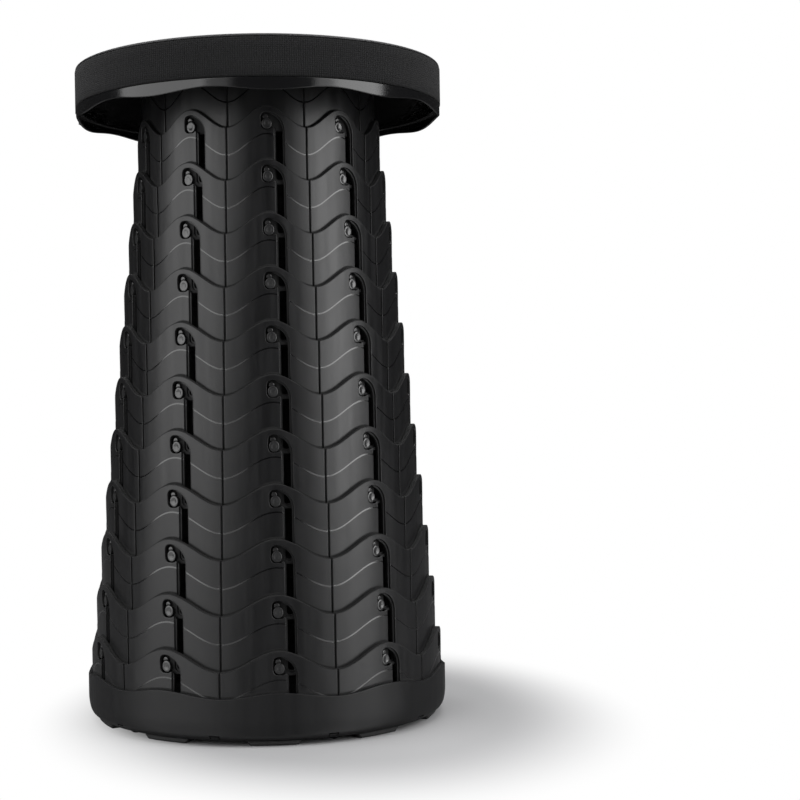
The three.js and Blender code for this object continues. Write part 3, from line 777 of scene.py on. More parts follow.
def flat_sector(radius, foot, slot_end=None, top=0.0, waved=True):
    """One sector of a ring's wall laid flat: round it, up it, and its depth below the skin."""
    border, seam = wall_outline(radius, foot, waved, top)
    aside = leftwards(border)
    open_seam = np.where(seam, np.sign(border[:, 0]) * SEAM / 2, 0.0)[:, None]
    spread = border + open_seam * np.array([[1.0, 0.0]])
    back = aside * np.where(seam, 0.0, 1.0)[:, None]
    arc = np.linspace(0, math.pi / 2, 4)
    fronts = [(EDGE_ROUND * (1 - math.sin(a)), EDGE_ROUND * (1 - math.cos(a))) for a in arc]
    fronts.insert(0, (EDGE_ROUND + EDGE_GUARD, 0.0))
    stacks = [[
        *(flat_points(border + aside * inset, depth) for inset, depth in fronts),
        flat_points(border, SEAM_DEPTH),
        flat_points(spread, SEAM_DEPTH),
        flat_points(spread, RING_WALL - BACK_ROUND),
        flat_points(spread + back * BACK_ROUND, RING_WALL),
        flat_points(spread + back * (BACK_ROUND + EDGE_GUARD), RING_WALL),
    ]]
    if slot_end is not None:
        hole = opening_outline(slot_end)
        off = leftwards(hole)
        ledge = ledge_share(hole[:, 0], hole[:, 1])[:, None] * LEDGE_WIDTH
        stacks.append([
            *(flat_points(hole + off * inset, depth) for inset, depth in fronts),
            flat_points(hole, LEDGE_DEPTH),
            flat_points(hole - off * ledge, LEDGE_DEPTH),
            flat_points(hole - off * ledge, RING_WALL - BACK_ROUND),
            flat_points(hole - off * (ledge - BACK_ROUND), RING_WALL),
            flat_points(hole - off * (ledge - BACK_ROUND - EDGE_GUARD), RING_WALL),
        ])
    shell = bmesh.new()
    for levels in stacks:
        rows = [[shell.verts.new(p) for p in level.tolist()] for level in levels]
        for upper, lower in zip(rows, rows[1:]):
            for i in range(len(upper)):
                j = (i + 1) % len(upper)
                shell.faces.new((upper[i], lower[i], lower[j], upper[j]))
    for level, depth in ((0, 0.0), (-1, RING_WALL)):
        loops = [levels[level][:, :2] for levels in stacks]

        def inside(points):
            solid = within(loops[0], points)
            for loop in loops[1:]:
                solid &= ~within(loop, points)
            return solid

        lines = step_rows(radius * SECTOR / 2) if depth == 0 else ()
        points, triangles = skin(loops, inside, lines)
        made = [shell.verts.new((x, y, depth)) for x, y in points.tolist()]
        for a, b, c in triangles:
            shell.faces.new((made[a], made[b], made[c]))
    bmesh.ops.remove_doubles(shell, verts=shell.verts, dist=2 * WELD)
    bmesh.ops.dissolve_degenerate(shell, edges=shell.edges, dist=WELD / 10)
    bmesh.ops.recalc_face_normals(shell, faces=shell.faces)
    mesh = bpy.data.meshes.new("flat_sector")
    shell.to_mesh(mesh)
    shell.free()
    return mesh


def oblong(left, right, low, high):
    return ((left, low), (right, low), (right, high), (left, high))


def clamped(value):
    return min(max(value, 0), 1)


def wrapped(mesh, radius, row, lap_height, highest=2 * LINE_BELOW_EDGE):
    """The flat sector bent onto its ring, with its seam faces opened to meet their neighbours."""
    shell = bmesh.new()
    shell.from_mesh(mesh)
    half = radius * SECTOR / 2
    walls = [f for f in shell.faces if all(abs(abs(v.co.x) - half) < WELD for v in f.verts)]
    bmesh.ops.delete(shell, geom=walls, context="FACES")
    line = shell.verts.layers.float.new("line")
    lap = shell.verts.layers.float.new("lap")
    shaded_hollow = shell.faces.layers.float.new("shaded_hollow")
    # Painted shade: faces below the skin are marked to be coloured near black, ledge faces only partly.
    for face in shell.faces:
        deepest = max(v.co.z for v in face.verts)
        ledge = all(abs(v.co.z - LEDGE_DEPTH) < WELD for v in face.verts)
        face[shaded_hollow] = LEDGE_SHADE if ledge else float(deepest > SKIN_DEPTH)
    for v in shell.verts:
        u, up, depth = v.co
        over = float(up - crest_height(u / radius) + LINE_BELOW_EDGE)
        v[line] = min(over, highest)
        v[lap] = float(row + up - lap_height(u / radius))
        if depth < SKIN_DEPTH:
            depth += STEP_DROP * clamped(over / STEP_WIDTH + 0.5) * (1 - clamped(over / STEP_FADE))
        v.co = on_column(u / radius, radius - depth, row + up)
    shell.to_mesh(mesh)
    shell.free()
    return mesh


def pin_mesh(radius, height):
    """A pin's round face with a shallow dimple, and the lower stud half hidden above it."""
    shapes = []
    pin = (0.0, 0.0, PIN_TALL, PIN_PROFILE, 0.0)
    stud = (*STUD_PLACE, 1.0, STUD_PROFILE, PIN_PROFILE[-1][0] + STUD_SHADE)
    for around, up, tall, profile, shaded in (pin, stud):
        rows = len(profile)
        points = []
        faces = []
        for k in range(PIN_CORNERS):
            turn = TURN * k / PIN_CORNERS
            for reach, out in profile:
                u = around + reach * math.cos(turn)
                v = up + reach * tall * math.sin(turn)
                points.append(tuple(on_column(u / radius, radius + out, height + v)))
            here, there = k * rows, (k + 1) % PIN_CORNERS * rows
            faces += [(here + i, there + i, there + i + 1, here + i + 1) for i in range(rows - 1)]
        faces.append(tuple(k * rows + rows - 1 for k in range(PIN_CORNERS)))
        mesh = bpy.data.meshes.new("pin")
        mesh.from_pydata(points, [], faces)
        tidy_shell(mesh)
        tip = mesh.attributes.new("tip", "FLOAT", "FACE")
        shaded_hollow = mesh.attributes.new("shaded_hollow", "FLOAT", "FACE")
        # Painted shade: a pin's sides, and its stud next to its face, are marked to be coloured near black.
        for k, face in enumerate(mesh.polygons):
            spots = [mesh.vertices[i].co for i in face.vertices]
            side = min(math.hypot(spot.x, spot.y) for spot in spots) < radius + PIN_SIDE
            centre = sum(spots, Vector()) / len(spots)
            beside = radius * math.atan2(centre.x, -centre.y)
            side = side or math.hypot(beside, (centre.z - height) / PIN_TALL) < shaded
            tip.data[k].value = float(not side)
            shaded_hollow.data[k].value = float(side)
        shapes.append(mesh)
    return shapes


def turned_copies():
    """Copies of one sector set round the stool's axis and welded into one shell."""
    tree, given = group_tree(
        "turned_copies",
        [("Geometry", "NodeSocketGeometry", None), ("Copies", "NodeSocketInt", SECTORS),
         ("Weld", "NodeSocketFloat", 2 * WELD), ("Material", "NodeSocketMaterial", None)],
        [("Geometry", "NodeSocketGeometry")],
        "GeometryNodeTree",
    )
    spots = node(tree, "GeometryNodePoints", {"Count": given["Copies"]})
    step = calculate(tree, "DIVIDE", TURN, given["Copies"])
    turn = calculate(tree, "MULTIPLY", node(tree, "GeometryNodeInputIndex").outputs[0], step)
    spin = node(tree, "ShaderNodeCombineXYZ", {"Z": turn})
    placed = {"Points": spots.outputs[0], "Instance": given["Geometry"], "Rotation": spin.outputs[0]}
    copies = node(tree, "GeometryNodeInstanceOnPoints", placed)
    real = node(tree, "GeometryNodeRealizeInstances", {0: copies.outputs[0]})
    welded = {"Geometry": real.outputs[0], "Distance": given["Weld"]}
    weld = node(tree, "GeometryNodeMergeByDistance", welded)
    look = {"Geometry": weld.outputs[0], "Material": given["Material"]}
    dress = node(tree, "GeometryNodeSetMaterial", look)
    node(tree, "NodeGroupOutput", {0: dress.outputs[0]})
    return tree


ROUND_COPIES = turned_copies()


def copied_round(name, mesh, material):
    """A piece made of copies of one sector's mesh turned round the stool's axis."""
    piece = piece_of(name, mesh)
    maker = piece.modifiers.new("copies", "NODES")
    maker.node_group = ROUND_COPIES
    values = {"Copies": SECTORS, "Material": material}
    for socket in ROUND_COPIES.interface.items_tree:
        if socket.in_out == "INPUT" and socket.name in values:
            maker[socket.identifier] = values[socket.name]
    return settled(piece)


def ring_nylon():
    plain = {"Specular IOR Level": RING_SHINE, "Coat Roughness": POLISH_COAT_ROUGHNESS}
    material, tree, shader, place = new_material("ring_nylon", plain)
    grain = grain_in(tree, place, RING_GRAIN)
    mottle = grain["Mottle"]
    line, lap, shaded_hollow, tip = (
        node(tree, "ShaderNodeAttribute", attribute_name=name).outputs["Fac"]
        for name in ("line", "lap", "shaded_hollow", "tip")
    )
    front = calculate(tree, "SUBTRACT", 1.0, calculate(tree, "MAXIMUM", shaded_hollow, tip))
    # Along the fine step: less roughness and a coat, and painted shade on its dark core.
    step_polish_and_shade = ranged(tree, calculate(tree, "ABSOLUTE", line), STEP_WIDTH * 0.45, STEP_WIDTH * 0.65, 1, 0)
    step_polish_and_shade = calculate(tree, "MULTIPLY", step_polish_and_shade, front)
    # Painted shade: a dark band on the skin just above the next ring's edge, and a dark line along the
    # ring's own waved edge.
    shade = ranged(tree, lap, LAP_SHADE, LAP_SHADE + LAP_FADE, 1, 0, smooth=True)
    brim = ranged(tree, line, LINE_BELOW_EDGE - BRIM_SHADE, LINE_BELOW_EDGE - BRIM_SHADE / 2)
    shade = calculate(tree, "MULTIPLY", calculate(tree, "MAXIMUM", shade, brim), front)
    dull_and_shaded = calculate(tree, "MAXIMUM", shaded_hollow, shade)
    gloss = ranged(tree, mottle, 0.35, 0.65, *RING_GLOSS)
    gloss = calculate(tree, "ADD", gloss, calculate(tree, "MULTIPLY", dull_and_shaded, DULLED))
    gloss = calculate(tree, "SUBTRACT", gloss, calculate(tree, "MULTIPLY", step_polish_and_shade, POLISHED))
    worn = blended(tree, ranged(tree, mottle, *MOTTLE), BLACK_NYLON, WORN_NYLON)
    # Painted shade: hollows, the bands beside the edges and the step's core turn the colour near black.
    inner = blended(tree, calculate(tree, "MAXIMUM", dull_and_shaded, step_polish_and_shade), worn, PAINTED_SHADE_BLACK)
    polish = calculate(tree, "MULTIPLY", calculate(tree, "MAXIMUM", step_polish_and_shade, tip), POLISH_COAT)
    feed(tree, shader.inputs["Base Color"], blended(tree, tip, inner, PIN_GREY))
    feed(tree, shader.inputs["Roughness"], gloss)
    feed(tree, shader.inputs["Coat Weight"], polish)
    bumped(tree, shader, grain["Height"], RING_GRAIN_DEPTH)
    return material


RING_LOOK = ring_nylon()
RIM_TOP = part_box("base_tray")[1].z


def next_crest(row):
    """Height of the next ring's waved edge at an azimuth, below a row."""
    return lambda azimuth: row - STAGE_TRAVEL + crest_height(azimuth)


def rim_height(azimuth):
    return RIM_TOP - RIM_WAVE * wave(azimuth)


def ring_sizes(number):
    low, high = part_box(f"ring_{number:02d}")
    return high.x / FLAT_SHARE, low.z, high.z


def flanged(name, ring, outer, low, high):
    """Adds the flange that points inwards from a ring's wall."""
    flange = turned("flange", [
        (outer - FLANGE_REACH, low, 0.3 * MM),
        (outer - RING_WALL / 2, low, 0),
        (outer - RING_WALL / 2, high, 0),
        (outer - FLANGE_REACH, high, 0.3 * MM),
    ], segments=160)
    ring.data = joined(name, [ring.data, flange])


def add_rings():
    for number in range(2, RING_COUNT + 1):
        last = number == RING_COUNT
        outer, foot, crest = ring_sizes(number)
        row = crest - CREST_ABOVE_PIN
        flat = flat_sector(outer, foot - row, -STAGE_TRAVEL - SLOT_CLOSED)
        floor = foot - row + CHANNEL_LEFT if last else foot - row - OVERCUT
        outline = oblong(-CHANNEL_HALF, CHANNEL_HALF, floor, -CHANNEL_TOP)
        channel = block("channel", *(
            [(u, v, depth) for u, v in outline] for depth in (CHANNEL_SKIN, RING_WALL + OVERCUT)
        ))
        sector = wrapped(cut(flat, channel), outer, row, rim_height if last else next_crest(row))
        pins = [] if last else pin_mesh(outer, row - STAGE_TRAVEL)
        name = f"ring_{number:02d}"
        ring = copied_round(name + "_look", joined(name, [sector, *pins]), RING_LOOK)
        if last:
            flanged(name, ring, outer, foot, foot + FLANGE)
        finish_piece(ring, RING_LOOK, "base" if last else name, [name])


add_rings()


# First ring. It has no openings: its top is a flange screwed up against the seat, and only its
# lower half shows, with the pins that lock it in the second ring.
def add_first_ring():
    outer, foot, top = ring_sizes(1)
    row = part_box("ring_02")[1].z - CREST_ABOVE_PIN + STAGE_TRAVEL
    flat = flat_sector(outer, foot - row, top=top - row, waved=False)
    sector = wrapped(flat, outer, row, next_crest(row), highest=LINE_BELOW_EDGE / 2)
    shapes = [sector, *pin_mesh(outer, row - STAGE_TRAVEL)]
    ring = copied_round("ring_01_look", joined("ring_01", shapes), RING_LOOK)
    flanged("ring_01", ring, outer, top - FLANGE, top)
    finish_piece(ring, RING_LOOK, "seat", ["ring_01"])


add_first_ring()


# Seat. A round nylon lid with a pebbled top that slopes a little at its edge. Its wall is sunk
# to take the carrying strap, and below the strap hangs a glossy skirt with a waved hem that
# drops round the base's rim when the stool is folded.
SEAT_CROWN = 2.5 * MM
SEAT_SLOPE = 12.8 * MM
SEAT_LIP = 1.6 * MM
SEAT_EDGE = 0.8 * MM
SEAT_WALL = 2.4 * MM
SEAT_SINK = 1.8 * MM  # of the wall behind the strap, from the strap's outer face
SKIRT_INSET = 0.2 * MM
SKIRT_SHELF = 1.2 * MM
SKIRT_WALL = 1.7 * MM
SKIRT_WAVE = 2.8 * MM
CLEARANCE = 0.3 * MM
CAP_RADIUS = 45 * MM
CAP_FLANGE = 1.6 * MM
SPIGOT_RADIUS = 41.2 * MM
SEAT_BLACK = (0.0185, 0.0185, 0.0195, 1)
PEBBLE_HIGHLIGHT = (0.032, 0.032, 0.0335, 1)
PEBBLE_SIZE = 0.95 * MM
PEBBLE_BEND = (0.7 * MM, 0.7 * MM, 0.7 * MM)
PEBBLE_DEPTH = 0.16 * MM
PEBBLE_START = 0.3 * MM  # half the height over which the pebbles begin, at the seat's lip
PEBBLE_MATT = 0.34  # roughness gained on the pebbled top
SEAT_GRAIN = 0.6 * MM
SEAT_GRAIN_SHARE = 0.15
SEAT_GLOSS = (0.11, 0.17)  # of the smooth skirt and lip


def pebble_grain():
    """Pebbled leather-like grain: a Height for its bump, and a Painted Highlight that lightens the pebble
    tops.
    """
    tree, given = group_tree(
        "pebble_grain",
        [("Vector", "NodeSocketVector", None), ("Pebble Size", "NodeSocketFloat", 1.0 * MM)],
        [("Height", "NodeSocketFloat"), ("Painted Highlight", "NodeSocketFloat")],
    )
    density = calculate(tree, "DIVIDE", 1.0, given["Pebble Size"])
    bend = node(tree, "ShaderNodeTexNoise", {"Vector": given["Vector"], "Scale": density})
    moved = {0: bend.outputs["Color"], 1: PEBBLE_BEND, 2: given["Vector"]}
    shift = node(tree, "ShaderNodeVectorMath", moved, operation="MULTIPLY_ADD")
    packed = {"Vector": shift.outputs[0], "Scale": density, "Smoothness": 0.35}
    cells = node(tree, "ShaderNodeTexVoronoi", packed, feature="SMOOTH_F1")
    tops = ranged(tree, cells.outputs["Distance"], 0.1, 0.65, 1, 0, smooth=True)
    height = calculate(tree, "ADD", tops, calculate(tree, "MULTIPLY", bend.outputs["Fac"], 0.6))
    node(tree, "NodeGroupOutput", {"Height": height, "Painted Highlight": tops})
    return tree


def pebbled_nylon():
    material, tree, shader, place = new_material("pebbled_nylon", {})
    pebbles = {"Vector": place, "Pebble Size": PEBBLE_SIZE}
    pebble = node(tree, "ShaderNodeGroup", pebbles, node_tree=pebble_grain()).outputs
    grain = grain_in(tree, place, SEAT_GRAIN)
    height = node(tree, "ShaderNodeSeparateXYZ", {0: place}).outputs["Z"]
    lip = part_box("seat_shell")[1].z - SEAT_CROWN - SEAT_LIP
    above = ranged(tree, height, lip - PEBBLE_START, lip + PEBBLE_START)
    relief = calculate(tree, "MULTIPLY", pebble["Height"], above)
    relief = calculate(tree, "ADD", relief, calculate(tree, "MULTIPLY", grain["Height"], SEAT_GRAIN_SHARE))
    bumped(tree, shader, relief, PEBBLE_DEPTH)
    matt = calculate(tree, "MULTIPLY", above, PEBBLE_MATT)
    gloss = calculate(tree, "ADD", matt, ranged(tree, grain["Mottle"], *MOTTLE, *SEAT_GLOSS))
    feed(tree, shader.inputs["Roughness"], gloss)
    # Painted highlight: the pebble tops are coloured lighter than the seat between them.
    tops = blended(tree, calculate(tree, "MULTIPLY", pebble["Painted Highlight"], above), SEAT_BLACK, PEBBLE_HIGHLIGHT)
    feed(tree, shader.inputs["Base Color"], blended(tree, above, BLACK_NYLON, tops))
    return material


SEAT_LOOK = pebbled_nylon()


def add_seat():
    low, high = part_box("seat_shell")
    band_low, band_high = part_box("strap_band")
    outer = high.x / FLAT_SHARE
    skirt = outer - SKIRT_INSET
    wall = band_high.x / FLAT_SHARE - SEAT_SINK
    top = high.z
    edge = top - SEAT_CROWN
    under = edge - SEAT_EDGE
    shelf = band_low.z - CLEARANCE
    hem = low.z
    corners = [
        (SPIGOT_RADIUS + CLEARANCE, under, 0.3 * MM),
        (wall - SEAT_WALL, under, 1.2 * MM),
        (wall - SEAT_WALL, shelf - SKIRT_SHELF, 0.3 * MM),
        (skirt - SKIRT_WALL, shelf - SKIRT_SHELF, 0.3 * MM),
        (skirt - SKIRT_WALL, hem, 0.5 * MM),
        (skirt, hem, 0.6 * MM),
        (skirt, shelf, 0.4 * MM),
        (wall, shelf, 0.2 * MM),
        (wall, band_high.z + CLEARANCE, 0.2 * MM),
        (skirt, band_high.z + CLEARANCE, 0.4 * MM),
        (outer, edge - 0.5 * MM, 0.5 * MM),
        (outer - 1.2 * MM, edge + 0.1 * MM, 0.6 * MM),
        (outer - SEAT_SLOPE, top, 5 * MM),
        (CAP_RADIUS + CLEARANCE, top, 0.5 * MM),
        (CAP_RADIUS + CLEARANCE, top - CAP_FLANGE - CLEARANCE, 0.2 * MM),
        (SPIGOT_RADIUS + CLEARANCE, top - CAP_FLANGE - CLEARANCE, 0.3 * MM),
    ]
    lift = lambda height, azimuth: SKIRT_WAVE * wave(azimuth) * (height < hem + SKIRT_WAVE)
    piece = piece_of("seat_shell_look", turned("seat_shell_look", corners, segments=360, lift=lift))
    finish_piece(piece, SEAT_LOOK, "seat", ["seat_shell"])


add_seat()


# Cap. A pebbled disc let into the middle of the seat. Two round finger holes, each with a short
# dark sleeve below it, serve to lift and twist the seat.
CAP_DEPTH = 5.6 * MM
HOLE_RADIUS = 12.2 * MM
HOLE_OFFSET = 27.3 * MM
HOLE_EASE = 0.05 * MM
HOLE_CHAMFER = 0.7 * MM
SLEEVE_WALL = 1.1 * MM
SLEEVE_DEPTH = 15 * MM
SLEEVE_TOP = 2 * MM
LOOP_TURN = math.radians(200)  # azimuth of the carrying loop, and of the row of holes


def tube_mesh(name, place, corners, segments=96):
    """A closed profile turned round an upright axis that stands at a place."""
    mesh = turned(name, corners, segments)
    mesh.transform(Matrix.Translation((place.x, place.y, 0)))
    return mesh


def add_cap():
    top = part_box("seat_cap")[1].z
    disc = turned("disc", [
        (0, top - CAP_DEPTH, 0),
        (SPIGOT_RADIUS, top - CAP_DEPTH, 0.5 * MM),
        (SPIGOT_RADIUS, top - CAP_FLANGE, 0.3 * MM),
        (CAP_RADIUS, top - CAP_FLANGE, 0.3 * MM),
        (CAP_RADIUS, top, 0.5 * MM),
        (0, top, 0),
    ], segments=200, closed=False)
    plug = [
        (0.0, top - 8 * MM, 0), (HOLE_RADIUS + HOLE_EASE, top - 8 * MM, 0),
        (HOLE_RADIUS + HOLE_EASE, top - 0.6 * MM, 0), (HOLE_RADIUS + HOLE_CHAMFER, top + 0.1 * MM, 0),
        (HOLE_RADIUS + HOLE_CHAMFER, top + 2 * MM, 0), (0.0, top + 2 * MM, 0),
    ]
    sleeve = [
        (HOLE_RADIUS, top - SLEEVE_DEPTH, 0.3 * MM),
        (HOLE_RADIUS + SLEEVE_WALL, top - SLEEVE_DEPTH, 0.3 * MM),
        (HOLE_RADIUS + SLEEVE_WALL, top - SLEEVE_TOP, 0.1 * MM),
        (HOLE_RADIUS, top - SLEEVE_TOP, 0.1 * MM),
    ]
    centres = [on_column(LOOP_TURN + half * math.pi, HOLE_OFFSET, 0) for half in (0, 1)]
    plugs = joined("plugs", [tube_mesh("plug", centre, plug) for centre in centres])
    sleeves = [tube_mesh("sleeve", centre, sleeve) for centre in centres]
    piece = piece_of("seat_cap_look", joined("seat_cap_look", [cut(disc, plugs), *sleeves]))
    finish_piece(piece, SEAT_LOOK, "seat", ["seat_cap"])


add_cap()


# Screws. Five hold the first ring up to the seat and five hold the last ring down to the base:
# blackened domed heads with a cross recess, their heads below and their tips above.
HEAD_RADIUS = 3.6 * MM
HEAD_HEIGHT = 2.2 * MM
HEAD_DOME = ((0.0, 0 * MM), (0.3, 0.1 * MM), (0.6, 0.45 * MM), (0.85, 1.05 * MM), (1, 1.9 * MM))
SHANK_RADIUS = 1.7 * MM
SHANK_TAPER = 0.6 * MM
SHANK_POINT = 0.6  # of the shank's radius, left at its tip
CROSS_ARM = (0.45 * MM, 1.9 * MM)  # half its width and half its length
CROSS_DEPTH = 1.4 * MM
CROSS_TAPER = 0.5
SCREW_GRAIN = 0.3 * MM
SCREW_GRAIN_DEPTH = 0.03 * MM
SCREW_GLOSS = (0.26, 0.46)
BLACKENED_STEEL = (0.03, 0.03, 0.032, 1)


def screw_steel():
    plain = {"Base Color": BLACKENED_STEEL, "Metallic": 1.0}
    material, tree, shader, place = new_material("screw_steel", plain)
    grained(tree, shader, place, SCREW_GRAIN, SCREW_GRAIN_DEPTH, SCREW_GLOSS)
    return material


SCREW_LOOK = screw_steel()


def screw_mesh(place, head_low, tip):
    head_top = head_low + HEAD_HEIGHT
    body = tube_mesh("screw", place, [
        *((HEAD_RADIUS * share, head_low + rise, 0) for share, rise in HEAD_DOME),
        (HEAD_RADIUS, head_top, 0), (SHANK_RADIUS, head_top, 0),
        (SHANK_RADIUS, tip - SHANK_TAPER, 0), (SHANK_RADIUS * SHANK_POINT, tip, 0), (0.0, tip, 0),
    ], segments=40)
    for wide, long in (CROSS_ARM, reversed(CROSS_ARM)):
        outline = oblong(-wide, wide, -long, long)
        arm = block("arm", *(
            [(place.x + x * share, place.y + y * share, height) for x, y in outline]
            for share, height in ((1, head_low - 1 * MM), (CROSS_TAPER, head_low + CROSS_DEPTH))
        ))
        body = cut(body, arm)
    return body


def add_screws(prefix, body):
    for k in range(5):
        name = f"{prefix}_{k + 1}"
        low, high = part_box(name)
        piece = piece_of(name + "_look", screw_mesh((low + high) / 2, low.z, high.z))
        finish_piece(piece, SCREW_LOOK, body, [name], sharp=30)


add_screws("seat_screw", "seat")
add_screws("base_screw", "base")


# Strap. Black woven webbing runs round the seat in its sunk wall. Behind the seat it carries a
# stiff standing loop, a sewn overlap, and a free end that passes through a three-bar adjuster.
WEBBING = 1.5 * MM
WEBBING_EDGE = 0.55 * MM
WEBBING_FLAT = 0.55  # of its thickness, left flat at each edge
RIB_PITCH = 1.45 * MM
ROW_PITCH = 1.3 * MM
WEAVE_DEPTH = 0.3 * MM
EDGE_SHADE_BAND = 0.8 * MM
FUZZ_DENSITY = 900
YARN_SHADE_BLACK = (0.002, 0.002, 0.0022, 1)
YARN_TOP = (0.0125, 0.0125, 0.0133, 1)
YARN = {"Roughness": 0.82, "Specular IOR Level": 0.17, "Sheen Weight": 0.05, "Sheen Roughness": 0.5}
band_low, band_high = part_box("strap_band")
BAND_OUTER = band_high.x / FLAT_SHARE
BAND_STEPS = 300
LAYER_MIDDLE = BAND_OUTER + CLEARANCE + WEBBING / 2
LAYER_PLAY = 0.25 * MM


def woven_webbing():
    """Tight ribbed weave on a strap's own map: a Height for its bump, and a Yarn Shade that paints its
    hollows dark.
    """
    tree, given = group_tree(
        "woven_webbing",
        [("Vector", "NodeSocketVector", None), ("Rib Pitch", "NodeSocketFloat", RIB_PITCH),
         ("Row Pitch", "NodeSocketFloat", ROW_PITCH)],
        [("Height", "NodeSocketFloat"), ("Yarn Shade", "NodeSocketFloat")],
    )
    parts = node(tree, "ShaderNodeSeparateXYZ", {0: given["Vector"]}).outputs
    threads = []
    for axis, pitch, plump in (("X", "Rib Pitch", 0.7), ("Y", "Row Pitch", 0.3)):
        turns = calculate(tree, "DIVIDE", parts[axis], given[pitch])
        thread = calculate(tree, "SINE", calculate(tree, "MULTIPLY", turns, math.pi))
        threads.append(calculate(tree, "POWER", calculate(tree, "ABSOLUTE", thread), plump))
    height = calculate(tree, "MULTIPLY", *threads)
    fuzz = node(tree, "ShaderNodeTexNoise", {"Vector": given["Vector"], "Scale": FUZZ_DENSITY})
    # Painted shade: the yarn's colour follows the weave's height, so its hollows are dark; the fuzz varies
    # it at random.
    yarn_shade = calculate(tree, "MULTIPLY", height, fuzz.outputs["Fac"])
    node(tree, "NodeGroupOutput", {"Height": height, "Yarn Shade": yarn_shade})
    return tree


def webbing_cloth():
    material, tree, shader, place = new_material("black_webbing", YARN)
    chart = node(tree, "ShaderNodeUVMap", uv_map="weave").outputs["UV"]
    pitches = {"Vector": chart, "Rib Pitch": RIB_PITCH, "Row Pitch": ROW_PITCH}
    weave = node(tree, "ShaderNodeGroup", pitches, node_tree=woven_webbing()).outputs
    bumped(tree, shader, weave["Height"], WEAVE_DEPTH)
    up = node(tree, "ShaderNodeSeparateXYZ", {0: chart}).outputs["Y"]
    middle = (band_low.z + band_high.z) / 2
    brink = (band_high.z - band_low.z) / 2 - EDGE_SHADE_BAND
    aside = calculate(tree, "ABSOLUTE", calculate(tree, "SUBTRACT", up, middle))
    # Painted shade: the yarn darkens to a tenth of its colour along the strap's top and bottom edges.
    inside = ranged(tree, aside, brink, brink + EDGE_SHADE_BAND / 2, 1, 0.1)
    yarn_shade = calculate(tree, "MULTIPLY", ranged(tree, weave["Yarn Shade"], 0.1, 0.6), inside)
    feed(tree, shader.inputs["Base Color"], blended(tree, yarn_shade, YARN_SHADE_BLACK, YARN_TOP))
    return material


CLOTH = webbing_cloth()


def add_webbing(name, path, body="seat", closed=False, lifts=None):
    """A piece of webbing that stands on edge along a path of (x, y) points, with soft edges."""
    path = np.asarray(path)
    count = len(path)
    lifts = np.zeros(count) if lifts is None else lifts
    low, high = band_low.z, band_high.z
    half = WEBBING / 2
    flat = half * WEBBING_FLAT
    sides = [low + (high - low) * share for share in (0.25, 0.5, 0.75)]
    across = [
        (-half, low + WEBBING_EDGE), (-flat, low), (flat, low), (half, low + WEBBING_EDGE),
        *((half, side) for side in sides),
        (half, high - WEBBING_EDGE), (flat, high), (-flat, high), (-half, high - WEBBING_EDGE),
        *((-half, side) for side in reversed(sides)),
    ]
    if closed:
        ahead = np.roll(path, -1, 0) - np.roll(path, 1, 0)
    else:
        ahead = np.gradient(path, axis=0)
    ahead /= np.linalg.norm(ahead, axis=1)[:, None]
    outwards = np.stack([ahead[:, 1], -ahead[:, 0]], 1)
    steps = np.linalg.norm(np.diff(np.vstack([path, path[:1]]), axis=0), axis=1)
    run = np.concatenate([[0], np.cumsum(steps)])
    shell = bmesh.new()
    chart = shell.loops.layers.uv.new("weave")
    rows = [
        [shell.verts.new((*(spot + out * off), z + lift)) for off, z in across]
        for spot, out, lift in zip(path, outwards, lifts)
    ]
    for i in range(count if closed else count - 1):
        j = (i + 1) % count
        for k in range(len(across)):
            m = (k + 1) % len(across)
            made = shell.faces.new((rows[i][k], rows[i][m], rows[j][m], rows[j][k]))
            spots = ((run[i], k), (run[i], m), (run[i + 1], m), (run[i + 1], k))
            for corner, (along, at) in zip(made.loops, spots):
                corner[chart].uv = (along, across[at][1])
    if not closed:
        for row in (rows[0], rows[-1]):
            for corner in shell.faces.new(row).loops:
                corner[chart].uv = (0, corner.vert.co.z)
    bmesh.ops.recalc_face_normals(shell, faces=shell.faces)
    mesh = bpy.data.meshes.new(name + "_look")
    shell.to_mesh(mesh)
    shell.free()
    finish_piece(piece_of(name + "_look", mesh), CLOTH, body, [name], sharp=60)


def on_layer(angle, lift=0.0):
    """A point on the second layer of webbing, at an angle from the loop."""
    return on_column(LOOP_TURN + angle, LAYER_MIDDLE + lift, 0)[:2]


def add_band():
    radius = BAND_OUTER - WEBBING / 2
    path = [on_column(TURN * k / BAND_STEPS, radius, 0)[:2] for k in range(BAND_STEPS)]
    add_webbing("strap_band", path, closed=True)


LOOP_HEIGHT = 70 * MM
LOOP_HALF_WIDTH = 37.5 * MM
LOOP_NECK = 33.5 * MM
LOOP_NECK_SHARES = (0.16, 0.34)  # of the loop's height
LOOP_SWELL_SHARES = ((1, 0.62), (0.78, 0.86), (0.42, 0.97))  # of half its width, and of its height
LOOP_TAB = 22 * MM
LOOP_LIFT = 6 * MM
LOOP_STEPS = 220


def smooth_path(points, samples):
    """A centripetal Catmull-Rom curve through its points, sampled evenly in its parameter."""
    points = [Vector(p) for p in points]
    chain = [points[0] * 2 - points[1], *points, points[-1] * 2 - points[-2]]
    knots = [0.0]
    for a, b in zip(chain, chain[1:]):
        knots.append(knots[-1] + math.sqrt((b - a).length))
    path = []
    for s in np.linspace(knots[1], knots[-2], samples):
        i = int(np.clip(np.searchsorted(knots, s, side="right") - 1, 1, len(chain) - 3))
        row = chain[i - 1:i + 3]
        t = knots[i - 1:i + 3]
        for starts, ends in ((t[:3], t[1:]), (t[:2], t[2:]), (t[1:2], t[2:3])):
            row = [
                a * ((end - s) / (end - start)) + b * ((s - start) / (end - start))
                for a, b, start, end in zip(row, row[1:], starts, ends)
            ]
        path.append(tuple(row[0]))
    return path


